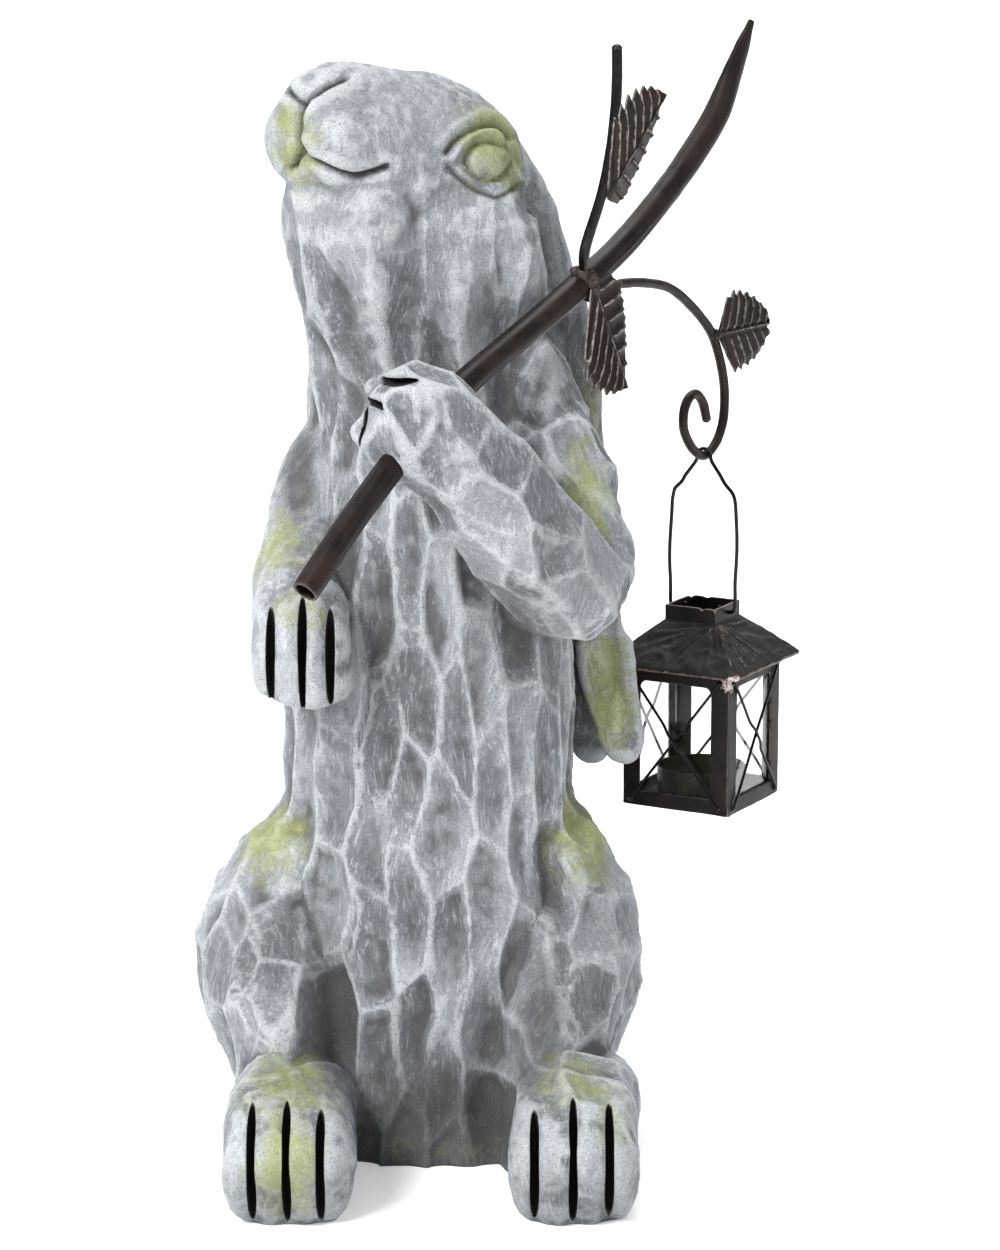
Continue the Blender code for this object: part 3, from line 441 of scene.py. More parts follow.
def facetRelief(p, n):
    # gouge marks: each is a shallow bowl, the square of the distance to its centre, whose floor slants its
    # own way; ridges stand between the bowls
    pose, finish = rabbitPose, rabbitFinish
    q = p + 4.0 * np.stack([softNoise(p, 30, k) for k in (3, 7, 11)], axis=1)
    tall, deep = finish["facet"]
    around = np.arctan2(q[:, 0], -q[:, 1]) / (2 * np.pi) * finish["facetRing"]
    body = gouges(np.stack([around, np.zeros(len(q)), q[:, 2] / tall], axis=1), ring=finish["facetRing"])
    elbow, wrist = (np.array(pose["highArm"][k][:3], float) for k in (4, 8))
    along = unit(wrist - elbow)
    over = unit(np.cross(along, (0, 1, 0)))
    armWide, armTall, armDeep = finish["armFacet"]
    forearm = [q @ over / armWide, q @ np.cross(along, over) / armWide, q @ along / armTall]
    leaning = gouges(np.stack(forearm, axis=1))
    hipWide, hipTall, hipDeep = finish["haunchFacet"]
    hip = gouges((q + 7) / np.array([hipWide, hipWide, hipTall]))
    arm = 1 - ramp(limbDistance(p, pose["highArm"], 2, 11), 1.12, 1.35)
    lowArm = 1 - ramp(limbDistance(p, pose["lowArm"], 1, 9), 1.1, 1.3)
    haunch = (1 - ramp(p[:, 2], 140, 152)) * ramp(np.abs(p[:, 0] - 1), 52, 62)
    share = np.stack([(1 - arm) * (1 - haunch), arm, haunch * (1 - arm)])
    depth = np.array([deep, armDeep, hipDeep])[:, None]
    marks = np.stack([body, leaning, hip], axis=1)
    edge, own = (marks[1:3] * share).sum(1)
    height = ((marks[0] - 0.22 + 0.8 * marks[3] * ramp(marks[1], 0, 0.3)) * depth * share).sum(0)
    ridge = bell(edge, 0.05) * (0.25 + 0.7 * ramp(softNoise(p, (18, 18, 26), 31), -0.5, 0.4))
    feet = (1 - ramp(p[:, 2], 40, 60)) * (1 - ramp(p[:, 1], -100, -75))
    strength = (1 - 0.8 * ramp(p[:, 2], 400, 430)) * (1 - 0.6 * feet) * (1 - 0.45 * lowArm)
    crown = ramp(p[:, 2], 448, 472)
    strength = strength * (1 - 0.85 * ramp(p[:, 1], 68, 76)) * (1 - crown)  # tail and crown stay round
    own = own + (0.5 - own) * crown
    neck = ramp(p[:, 2], 325, 350) * (1 - ramp(p[:, 2], 396, 424)) * (1 - arm) * ramp(-n[:, 1], 0.1, 0.6)
    lean = 0.12 * (p[:, 2] - 370)
    swing = np.cos(2 * np.pi * (p[:, 0] + 34 + lean + 3 * softNoise(p, 24, 41)) / 34)    # throat's flutes
    middle = 1 - 0.85 * bell(p[:, 0] + lean, 11)
    height = height * strength * (1 - 0.65 * neck) - (3.0 * swing + 0.8 * swing ** 3) * neck * middle
    ridge = np.maximum(ridge * strength * (1 - 0.6 * neck), 0.7 * neck * ramp(-swing, 0.86, 1.0))
    return height, ridge, own


def earRelief(p, n):
    # the ear's open front: a hollow between two rims
    rows = smoothPath(rabbitPose["nearEar"], 8)[::-1]
    middle, back, half = (np.interp(p[:, 2], rows[:, 2], rows[:, k]) for k in (0, 1, 3))
    off = np.abs(p[:, 0] - middle) / half
    near = 1 - ramp(np.abs(p[:, 1] - back), 9, 13)
    near = near * ramp(p[:, 2], 174, 186) * (1 - ramp(p[:, 2], 405, 430))
    return -3.6 * ((1 - ramp(off, 0.35, 0.8)) * ramp(-n[:, 1], 0.15, 0.6) * near)


def toeRelief(p, n):
    # a soft groove along every claw slit, so that the toes between them are round
    height = np.zeros(len(p))
    ahead = ramp(-n[:, 1], 0.0, 0.5)
    for middle, offsets in zip(rabbitPose["footMiddles"], slitPlaces["foot"]):
        for x in offsets:
            height -= 2.0 * bell(p[:, 0] - middle - x, 4.2) * ahead * (1 - ramp(p[:, 1], -132, -118))
    low = (1 - ramp(p[:, 2], 262, 274)) * ramp(p[:, 2], 200, 210) * (1 - ramp(p[:, 1], -76, -66))
    for x in slitPlaces["lowPaw"]:
        height -= 1.8 * bell(p[:, 0] - x, 3.4) * ahead * low
    for middle, across, inward, long in slitPlaces["highPaw"]:
        off = p - np.array(middle)
        along = np.cross(unit(across), unit(inward))
        near = bell(off @ unit(across), 3.4) * bell(off @ along, long)
        height -= 1.8 * near * (np.abs(off[:, 1]) < 22)
    return height


def carve(rabbit):
    data = rabbit.data
    p = readPoints(data) / mm
    neck = ramp(p[:, 2], 372, 392) * (1 - ramp(p[:, 2], 416, 428))
    hips = ramp(p[:, 2], 120, 140) * (1 - ramp(p[:, 2], 190, 210)) * ramp(np.abs(p[:, 0]), 46, 54)
    joints = np.maximum(neck, hips)         # limbs melt into the body here
    p = p + joints[:, None] * (spread(p, edgeEnds(data), 45, 0.9) - p)
    writePoints(data, p * mm)
    n = readPoints(data, "normal")
    face, creaseShade = faceRelief(p, n)
    facets, ridge, own = facetRelief(p, n)
    rough = 0.35 * softNoise(p, 7.0, 5) + 0.22 * softNoise(p, 3.4, 9)
    broad = 0.7 * softNoise(p, (30, 30, 44), 21)
    moved = p + n * (face + facets + earRelief(p, n) + broad + rough + toeRelief(p, n))[:, None]
    writePoints(data, moved * mm)
    for name, values in (("ridge", ridge), ("own", own), ("creaseShade", creaseShade)):
        writeMask(data, name, values)


slitPlaces = {                      # claw slits, in millimetres
    "foot": [(-15.4, -0.2, 14.5), (-17.5, -0.7, 15)],       # off each foot's middle
    "footCut": (-139, 29, 2.3, 15, 34),         # y, z, then half width, depth and half length
    "lowPaw": (-67, -53, -41),
    "lowPawCut": (-86, 247, 2.2, 13, 29),
    "highPaw": [                    # middle, across, inward and half length
        ((-16, -112, 369), (-0.12, 0, 1), (0, 1, 0), 16), ((-20, -109, 359.5), (0.1, 0, 1), (0, 1, 0), 13),
        ((-28, -113, 352), (0.9, -0.44, 0), (0.44, 0.9, 0), 11)],
    "highPawCut": (1.8, 13),        # half width and depth
}


def lens(middle, axes, radii):
    # one claw slit's cutter: an egg that is thin across, deep inwards and long along the toe
    return ball(np.array(middle, float), radii, axes, 25, 20)


def slitCutters():
    c, s = math.cos(math.radians(9)), math.sin(math.radians(9))
    toe = [(1, 0, 0), (0, c, -s), (0, s, c)]
    parts = []
    for middle, offsets in zip(rabbitPose["footMiddles"], slitPlaces["foot"]):
        y, z, *radii = slitPlaces["footCut"]
        parts += [lens((middle + x, y, z), toe, radii) for x in offsets]
    y, z, *radii = slitPlaces["lowPawCut"]
    parts += [lens((x, y, z), np.eye(3), radii) for x in slitPlaces["lowPaw"]]
    for middle, across, inward, long in slitPlaces["highPaw"]:
        across, inward = unit(across), unit(inward)
        wide, deep = slitPlaces["highPawCut"]
        parts.append(lens(middle, [across, inward, np.cross(across, inward)], (wide, deep, long)))
    return joined(parts)


def paintMasks(data):
    # what stands out, what lies low, moss and painted shade, as numbers from 0 to 1 on the finished skin
    p = readPoints(data)
    n = readPoints(data, "normal")
    ends = edgeEnds(data)
    near = spread(p, ends, 6)
    wide = spread(near, ends, 60)
    fine = ((p - near) * n).sum(1) / mm
    broad = ((near - wide) * n).sum(1) / mm
    q = p / mm
    writeMask(data, "raised", 0.35 + 1.8 * fine + 0.10 * broad)
    writeMask(data, "hollow", 0.05 - 0.30 * broad - 1.2 * fine)
    for name, places in (("moss", mossPlaces), ("shade", shadePlaces)):
        most = np.zeros(len(q))
        for middle, reach, strength in places:
            off = (q - np.array(middle)) / np.array(reach)
            most = np.maximum(most, strength * np.exp(-(off ** 2).sum(1)))
        writeMask(data, name, most)


shadePlaces = [                     # painted shade: middle, reach and strength, in millimetres
    ((3, -60, 6), (60, 50, 44), 1.5), ((-46, -56, 60), (14, 44, 54), 1.1),
    ((52, -56, 60), (14, 44, 54), 1.1), ((46, -56, 262), (20, 24, 40), 1.2),
    ((-20, -60, 236), (12, 20, 30), 0.8), ((-34, -56, 286), (8, 18, 30), 0.7),
    ((78, 20, 380), (20, 20, 60), 0.75), ((-33, -58, 376), (9, 20, 36), 0.75),
    ((-35, -72, 432), (20, 18, 11), 0.5), ((66, -20, 420), (12, 30, 24), 0.5),
    ((-57, -46, 318), (9, 40, 30), 1.5), ((72, -40, 88), (24, 46, 50), 0.52),
    ((-72, -36, 90), (24, 46, 50), 0.55), ((50, -66, 280), (44, 40, 34), 0.6),
    ((-14, -62, 424), (26, 16, 14), 0.4), ((-40, -66, 262), (12, 26, 20), 0.5),
    ((76, 30, 170), (20, 16, 24), 0.6), ((-20, -46, 474), (70, 60, 44), 0.40),
    ((-60, -130, 14), (44, 44, 24), 0.5), ((66, -130, 14), (44, 44, 24), 0.55),
    ((-52, -84, 240), (40, 24, 24), 0.42), ((0, 60, 60), (60, 40, 60), 0.5),
    ((32, -52, 384), (16, 22, 30), 0.6),
]

mossPlaces = [                      # middle, reach and strength, in millimetres
    ((-60, -66, 474), (12, 18, 10), 1.2), ((-60, -68, 456), (13, 16, 16), 1.3),
    ((-56, -66, 442), (16, 14, 5), 0.4), ((44, -38, 464), (24, 24, 20), 2.2),
    ((58, -24, 444), (12, 18, 22), 1.4), ((-50, -68, 470), (10, 16, 14), 0.8),
    ((-74, -26, 146), (18, 34, 18), 1.15), ((74, -22, 144), (18, 34, 20), 1.2),
    ((-60, -108, 56), (26, 32, 14), 1.0), ((66, -108, 56), (24, 30, 14), 0.75),
    ((-60, -140, 34), (18, 24, 26), 1.15), ((80, -126, 44), (12, 24, 16), 0.8),
    ((-56, -86, 264), (16, 18, 10), 0.85), ((-64, -46, 276), (16, 20, 36), 0.95),
    ((-60, -60, 296), (12, 14, 18), 0.7), ((82, 12, 205), (14, 12, 40), 1.1),
    ((74, 18, 316), (14, 14, 46), 0.9), ((86, 14, 250), (12, 14, 20), 0.7),
    ((72, -44, 306), (12, 16, 30), 1.0), ((0, -62, 8), (60, 20, 10), 0.3),
    ((0, 90, 50), (26, 20, 24), 0.5), ((30, 40, 420), (30, 14, 40), 0.4),
]


def buildRabbit(material):
    vertices, faces = rabbitLimbs()
    rabbit = newPiece("rabbit_stone", vertices * mm, faces, material)
    skin = rabbit.modifiers.new("skin", "REMESH")
    skin.mode = "VOXEL"
    skin.voxel_size = rabbitFinish["voxel"]
    soft = rabbit.modifiers.new("soft", "SMOOTH")
    soft.iterations = rabbitFinish["softening"]
    settled(rabbit)
    print("rabbit skin", len(rabbit.data.vertices))
    carve(rabbit)
    triangles = 2 * len(rabbit.data.polygons)
    fewer = rabbit.modifiers.new("fewer", "DECIMATE")
    fewer.ratio = min(1, rabbitFinish["triangles"] / triangles)
    settled(rabbit)
    cut = rabbit.modifiers.new("slits", "BOOLEAN")
    slits, faces = slitCutters()
    ground = box((-220, -220, -80), (220, 220, 0))      # the statue stands on a flat cut
    # the slit cutters' faces take the near-black of painted shade; the ground cut's faces do not
    dark = np.concatenate([np.ones(len(slits)), np.zeros(len(ground[0]))])
    vertices, faces = joined([(slits, faces), ground])
    cutter = newPiece("slit_cutter", vertices * mm, faces, material)
    writeMask(cutter.data, "slit", dark)
    writeMask(rabbit.data, "slit", np.zeros(len(rabbit.data.vertices)))
    cut.object = cutter
    cut.solver = "MANIFOLD"
    settled(rabbit)
    bpy.data.objects.remove(cutter)
    paintMasks(rabbit.data)
    rabbit.data.shade_smooth()
    print("rabbit carved", len(rabbit.data.polygons))
    return rabbit


# Branch, twig, hook arm and leaves, in millimetres

ironPose = {
    "branch": [
        (-48.4, -157.4, 288.0), (-30.2, -136.4, 312.8), (-10.8, -114.1, 336.1), (4.3, -96.7, 351.6),
        (21.3, -77.2, 366.2), (43.5, -51.7, 381.0), (69.3, -22.0, 398.8), (88.8, 0.4, 414.1),
        (107.3, 21.7, 433.4), (119.9, 36.2, 448.9), (131.2, 49.2, 465.7), (139.2, 58.4, 484.3),
        (144.4, 64.4, 497.4), (147.9, 68.5, 506.6)],
    "flattened": [(1, 1)] * 11 + [(1.0, 0.62), (0.66, 0.40), (0.30, 0.24)],
    "branchRadius": 6.0,
    "boreRadius": 4.6,
    "boreEnd": 10,
    "node": 6,
    "seam": (6.3, 7.6),             # stations between which the tube's seam shows
    "rim": ((4.75, 0.02), (5.2, 0.04), (5.65, 0.0)),        # radius and push of the mouth's rings
    "welds": (                      # round the node: direction, reach, half sizes and the noise's salt
        ((-0.35, -1, 0.35), 6.0, (4.3, 4.0, 3.6), 3), ((-0.7, -0.6, 0.5), 5.6, (3.2, 3.4, 3.0), 5),
        ((0.4, -0.1, -1), 6.0, (4.4, 4.2, 3.4), 7), ((0.7, -0.5, -0.6), 5.8, (3.4, 3.0, 3.2), 9),
        ((0.25, -1, 0.1), 5.9, (3.6, 2.6, 4.2), 11), ((-0.1, -0.8, -0.6), 5.8, (3.2, 2.8, 3.0), 13)),
    "weldSink": 1.2,                # how deep the rods' feet stand in the branch
    "twig": [(70.5, -33, 416), (76.8, -34, 437), (81, -34, 456.3), (83.1, -34, 474.2), (83.9, -34, 489.4),
             (83.8, -34, 503.2)],
    "twigRadius": 2.4,
    "hook": [
        (10.5, 395.0), (22.5, 394.8), (37.3, 393.1), (54.9, 389.2), (68.5, 382.5), (82.3, 373.0), (93.6, 362.7),
        (100.8, 349.5), (105.0, 335.3), (104.1, 320.9), (98.0, 311.0), (87.9, 306.4), (77.6, 311.5),
        (70.6, 320.5), (70.0, 329.0), (74.0, 335.0), (80.4, 336.4), (86.3, 331.5), (89.6, 323.5)],
    "hookRadius": 2.2,
    "hookStart": (77.5, -12.0),
    "hookTurn": math.radians(55),
    "hookLow": 11,
    "hookLeaf": 6,
}


def hookPlace(out, up):
    turn = ironPose["hookTurn"]
    return np.array([ironPose["hookStart"][0] + out * math.cos(turn),
                     ironPose["hookStart"][1] + out * math.sin(turn), up])


def squareTo(v, axis):
    axis = unit(axis)
    return unit(np.asarray(v, float) - axis * np.dot(v, axis))


def branchWeld(direction, distance):
    # a point beside the branch's node
    rows, node = np.array(ironPose["branch"], float), ironPose["node"]
    return rows[node] + squareTo(direction, rows[node + 1] - rows[node - 1]) * distance


def wornPiece(name, points, faces, material, rounds, gain, smoothAngle=60):
    # a piece from points in millimetres; its mask says how far each vertex stands out of its neighbourhood
    piece = newPiece(name, points * mm, faces, material, smoothAngle)
    p = readPoints(piece.data)
    stand = ((p - spread(p, edgeEnds(piece.data), rounds)) * readPoints(piece.data, "normal")).sum(1) / mm
    writeMask(piece.data, "edge", gain * stand)
    return piece


def bead(centre, radii, salt):
    # a lump of weld: an egg moved in and out by noise
    v, faces = ball(np.array(centre, float), radii, np.eye(3), 18, 24)
    swell = 1 + 0.16 * softNoise(v, 2.2, salt) + 0.07 * softNoise(v, 0.9, salt)
    return centre + (v - centre) * swell[:, None], faces


def buildBranch(material):
    # one loft: up the bore's wall to the open mouth, round the rim, then the outside to the hammered tip
    steps, sides = 18, 96
    rows = smoothPath(np.hstack([ironPose["branch"], ironPose["flattened"]]), steps)
    centres, wide, thick = rows[:, :3], rows[:, 3], rows[:, 4]
    across = (-math.sin(ironPose["hookTurn"]), math.cos(ironPose["hookTurn"]), 0)
    outside = tubeGrid(centres, thick, wide, across, sides)
    spokes = outside - centres[:, None]
    station = np.arange(len(rows))[:, None] / steps
    flat = outside.reshape(-1, 3)
    dents = (0.16 * softNoise(flat, 9, 2) + 0.07 * softNoise(flat, 2.6, 4)).reshape(len(rows), sides)
    dents = dents * (1 + 2.5 * ramp(station, 10.5, 12.5)) * ramp(station, 0, 0.5)
    facing = unit(np.cross(np.gradient(centres, axis=0), (0, 0, 1)))[:, None]
    seam = bell((spokes * facing).sum(-1) - 0.97, 0.04) * (spokes[..., 1] < 0)
    low, high = ironPose["seam"]
    dents = dents - 0.35 * seam * ramp(station, low, low + 0.2) * (1 - ramp(station, high - 0.2, high))
    dents = dents - 0.2 * (1 - ramp(station, 0, 0.1))       # the mouth's edge is broken
    shell = centres[:, None] + spokes * (ironPose["branchRadius"] + dents[..., None])
    end = ironPose["boreEnd"] * steps
    bore = (centres[:, None] + spokes * ironPose["boreRadius"])[:end][::-1]
    out = unit(centres[0] - centres[1])
    rim = [centres[0] + spokes[0] * radius + out * push for radius, push in ironPose["rim"]]
    rings = np.concatenate([bore, np.array(rim), shell])
    parts = [(rings.reshape(-1, 3), tubeFaces(len(rings), sides))]
    for direction, reach, radii, salt in ironPose["welds"]:
        parts.append(bead(branchWeld(direction, reach), radii, salt))
    return wornPiece("branch_tube", *joined(parts), material, 5, 5)


def roughRod(points, radius, side):
    # a rod whose surface is moved in and out a little, away from its middle line
    sides, dent = 24, 0.1
    v, faces = rod(points, radius, side, sides)
    middle = np.repeat(v.reshape(-1, sides, 3).mean(1), sides, axis=0)
    swell = 1 + dent / radius * (softNoise(v, 7, 1) + 0.5 * softNoise(v, 2.2, 6))
    return middle + (v - middle) * swell[:, None], faces


def weldedFoot(direction, radius):
    # where a rod of this radius starts, sunk a little into the branch
    return branchWeld(direction, ironPose["branchRadius"] + radius - ironPose["weldSink"])


def buildTwig(material):
    foot = weldedFoot((-0.35, -1.0, 0.35), ironPose["twigRadius"])
    rows = smoothPath(np.vstack([foot, ironPose["twig"]]), 22)
    v, faces = roughRod(rows, ironPose["twigRadius"], (1, 0, 0))
    return wornPiece("twig_rod", v, faces, material, 5, 4)


def buildHookArm(material):
    foot = weldedFoot((0.4, -0.1, -1.0), ironPose["hookRadius"])
    places = [hookPlace(*place) for place in ironPose["hook"]]
    rows = smoothPath(np.vstack([foot, places]), 18)
    side = (math.sin(ironPose["hookTurn"]), -math.cos(ironPose["hookTurn"]), 0)
    weld = bead(places[ironPose["hookLeaf"]] + np.array(side) * 1.9, (2.6, 1.6, 2.6), 21)
    v, faces = joined([roughRod(rows, ironPose["hookRadius"], side), weld])
    return wornPiece("hook_rod", v, faces, material, 5, 4)


leafShape = {
    "length": 57.5, "thick": 0.9, "lobes": 7, "press": 0.95, "rows": 220, "columns": 91,
    "long": (math.radians(50), 20.5, 0.7, 2.1),     # a side: sweep, width, fullness at base and towards tip
    "short": (math.radians(4), 20.0, 0.5, 2.0),
    "broad": (math.radians(42), 27.0, 0.6, 1.9),
    "under": (math.radians(30), 19.0, 0.75, 2.4),
    "over": (math.radians(10), 19.0, 0.7, 2.8),
}


def closedSheet(front, back):
    # two grids of the same size, joined all round their rim
    rows, columns = front.shape[:2]
    half = rows * columns
    faces = gridFaces(rows, columns) + [face[::-1] for face in gridFaces(rows, columns, half)]
    loop = np.concatenate([np.arange(columns), columns * np.arange(1, rows) + columns - 1,
                           half - 2 - np.arange(columns - 1), columns * np.arange(rows - 2, 0, -1)])
    after = np.roll(loop, -1)
    faces += np.stack([after, loop, loop + half, after + half], axis=-1).tolist()
    return np.concatenate([front.reshape(-1, 3), back.reshape(-1, 3)]), faces


def buildLeaf(name, start, tip, across, foldAngle, sideNames, material, salt):
    # each side has its own sweep, width and fullness; pleats run out from the middle vein to pointed teeth,
    # thin raised lines stand between them
    shape = leafShape
    sides, fold = [shape[side] for side in sideNames], math.radians(foldAngle)
    tip = np.array(tip)
    along = unit(tip - start)
    across = squareTo(across, along)
    face = np.cross(along, across)
    face = -face if face[1] > 0 else face
    u = np.linspace(0, 1, shape["rows"])[:, None]
    share = np.linspace(-1, 1, shape["columns"])[None]
    phase = u * shape["lobes"] + 0.25 * (share > 0)
    part = phase - np.floor(phase)
    tooth = np.where(part < 0.62, part / 0.62, (1 - part) / 0.38)
    sweep, width, begin, fullness = [np.where(share < 0, a, b) for a, b in zip(*sides)]
    half = width * np.minimum(1, begin + 3.0 * u) * np.clip(1 - u ** fullness, 0, 1)
    half = half * (0.82 + 0.18 * tooth) * np.clip(u / 0.04, 0.02, 1) ** 0.45 + 0.6
    out = half * share
    root = shape["length"] * (0.02 + 0.93 * u) + np.abs(out) * np.tan(sweep)
    root = np.minimum(root, np.linalg.norm(tip - start))
    crest = bell(phase - np.round(phase), 0.10)
    grown = ramp(np.abs(out), 0.2, 2.4) * ramp(u, 0.02, 0.1) * (1 - ramp(u, 0.95, 1.0))
    lift = (shape["press"] * (1.2 * crest - 0.9 * np.sin(np.pi * part))) * grown
    lift = lift + 0.5 * bell(out, 0.7) * ramp(u, 0.02, 0.2) - 0.5 * bell(np.abs(out) - 1.6, 0.8)
    lift = lift + np.abs(out) * math.tan(fold) - 1.1 * ramp(np.abs(share), 0.75, 1.0) * ramp(u, 0.1, 0.3)
    lift = lift + 0.8 * np.sin(3.0 * u + salt) * share * ramp(u, 0.1, 0.9)
    middle = start + along * root[..., None] + across * out[..., None] + face * lift[..., None]
    rough = (0.18 * softNoise(middle.reshape(-1, 3), 2.4, salt)).reshape(middle.shape[:2])
    middle = middle + face * rough[..., None]
    v, faces = closedSheet(middle + face * shape["thick"] / 2, middle - face * shape["thick"] / 2)
    leaf = newPiece(name, v * mm, faces, material, 50)
    rim = np.maximum(0.75 * ramp(np.abs(share), 0.94, 1.0) * np.ones_like(u), 0.85 * crest * grown)
    rim = np.maximum(rim, 0.7 * bell(out, 0.6) * ramp(u, 0.02, 0.2))
    writeMask(leaf.data, "edge", np.concatenate([rim.ravel(), rim.ravel()]))
    return leaf


def buildLeaves(material):
    turn = ironPose["hookTurn"]
    facing = np.array((math.sin(turn), -math.cos(turn), 0))
    plane = (math.cos(turn), math.sin(turn), 0)
    stand = leafShape["thick"]
    onTwig = np.array(ironPose["twig"][1]) + facing * (ironPose["twigRadius"] + stand)
    onNode = branchWeld((0.25, -1, 0.1), ironPose["branchRadius"] + stand)
    onHook = hookPlace(*ironPose["hook"][ironPose["hookLeaf"]]) + facing * (ironPose["hookRadius"] + stand)
    return [
        buildLeaf("upper_leaf", onTwig, (108.6, -15, 486.3), plane, -10, ("long", "short"), material, 0.4),
        buildLeaf("lower_leaf", onNode, (90.9, -12, 346.5), plane, 4, ("broad", "short"), material, 2.1),
        buildLeaf("hook_leaf", onHook, (159.6, 105.4, 361.5), (0, 0, 1), 4, ("under", "over"), material, 4.0)]


# The lantern, in its own frame: the bail's axis is x, and z = 0 on that axis

lanternShape = {
    "turn": math.radians(-29),
    "bailRadius": 0.9, "bailHeight": 76.5, "bailShoulder": 53.0, "bailStandoff": 3.0, "bailStub": 2.6,
    "tin": 0.9, "caseSide": 55.0, "caseHeight": 68.0, "post": 9.0, "topBand": 7.8, "rail": 7.0, "corner": 3.5,
    "eaveSide": 69.0, "eaveDrop": 1.4, "rise": 19.4, "collarSide": 26.0, "collarHeight": 6.8,
    "wireRadius": 0.7, "wireInset": 4.5, "gap": 0.3,
    "dents": (                      # in the collar's edge: place, depth and width
        ((-13, 13), 2.6, 1.5), ((6.2, -13), 1.2, 1.2), ((13, -13), 1.8, 0.7), ((-4, 13), 0.7, 1.6)),
    "cup": (                        # the cup's outline: radius and height
        (0.6, 0), (12, 0), (17.6, 0.05), (18.9, 0.3), (19.8, 0.9), (20.2, 1.9), (20.3, 5), (20.35, 9),
        (20.35, 12.6), (20.3, 13.6), (20.45, 14.1), (20.4, 14.6), (20.1, 14.9), (19.75, 14.8), (19.55, 14.4),
        (19.5, 13.6), (19.5, 9), (19.4, 5), (19.3, 2), (18.6, 1.2), (17, 0.95), (12, 0.9), (0.6, 0.9)),
}


def lanternLevels():
    # heights of the eave and of the case's bottom
    shape = lanternShape
    eaveZ = -(shape["collarHeight"] / 2 + shape["rise"])
    return eaveZ, eaveZ - shape["caseHeight"]


def turnedAbout(c, s):
    # a turn about z, by the cosine and sine of its angle, to be multiplied from the right
    return np.array([[c, s, 0], [-s, c, 0], [0, 0, 1]])


def quarterTurn(number):
    angle = number * math.pi / 2
    return turnedAbout(round(math.cos(angle)), round(math.sin(angle)))


def lanternPlace(points):
    # from the lantern's own frame to the row frame
    shape = lanternShape
    hung = hookPlace(*ironPose["hook"][ironPose["hookLow"]])
    drop = shape["bailHeight"] - ironPose["hookRadius"] - shape["bailRadius"] - shape["gap"]
    turn = turnedAbout(math.cos(shape["turn"]), math.sin(shape["turn"]))
    return np.asarray(points, float) @ turn + hung - (0, 0, drop)


def roundedRoute(corners, radius):
    # straight runs through corners, each turned by a short curve
    pieces = 6
    corners = np.asarray(corners, float)
    before, corner, after = corners[:-2], corners[1:-1], corners[2:]
    reach = np.minimum(radius, np.minimum(np.linalg.norm(corner - before, axis=1),
                                          np.linalg.norm(after - corner, axis=1)) / 2)[:, None]
    start, end = corner + unit(before - corner) * reach, corner + unit(after - corner) * reach
    t = np.linspace(0, 1, pieces + 1)[None, :, None]
    turned = (1 - t) ** 2 * start[:, None] + 2 * t * (1 - t) * corner[:, None] + t ** 2 * end[:, None]
    return np.vstack([corners[:1], turned.reshape(-1, 3), corners[-1:]])


def divided(points, count=None):
    # a line with points at equal steps of its length: one in every millimetre, or count without the last
    points = np.asarray(points, float)
    runs = np.concatenate([[0], np.cumsum(np.linalg.norm(np.diff(points, axis=0), axis=1))])
    places = np.linspace(0, runs[-1], count or int(runs[-1]), endpoint=count is None)
    return np.stack([np.interp(places, runs, column) for column in points.T], axis=1)


def buildBail(material):
    shape = lanternShape
    leg = shape["collarSide"] / 2 + shape["bailStandoff"] + shape["bailRadius"]
    end = shape["collarSide"] / 2 - shape["tin"] - shape["bailStub"]
    loop = ironPose["hookRadius"] + shape["bailRadius"] + shape["gap"]
    top = shape["bailHeight"]
    half = [(end - 0.5, 0, 2.2), (end, 0, 0), (leg, 0, 0), (leg, 0, shape["bailShoulder"]),
            (loop * 1.05, 0, top - loop * 1.6)]
    turn = math.pi * np.arange(1, 8) / 8
    arch = np.stack([loop * np.cos(turn), 0 * turn, top - loop + loop * np.sin(turn)], axis=1)
    route = divided(roundedRoute(np.vstack([half, arch, [(-x, y, z) for x, y, z in half[::-1]]]), 3.0))
    up = route[:, 2:]
    bend = 0.45 * np.sin(up / 9 + route[:, :1]) * ramp(up, 6, 20) * (1 - ramp(up, 55, 68))
    route = route + bend * np.array([[1.0, 0.6, 0]])
    v, faces = rod(route, shape["bailRadius"], (0, 1, 0), 14)
    return wornPiece("bail_wire", lanternPlace(v), faces, material, 3, 5)


def squareRing(count):
    # points round a square of half side 1, a point at each corner
    t = np.linspace(-1, 1, count, endpoint=False)
    one = np.ones_like(t)
    return np.concatenate([np.stack(side, axis=1) for side in ((t, -one), (one, t), (-t, one), (-one, -t))])


def crumpled(p, size, salt):
    # ridged noise: 1 minus twice the size of the noise, so folds are sharp
    return 1 - 2 * np.abs(softNoise(p, size, salt))


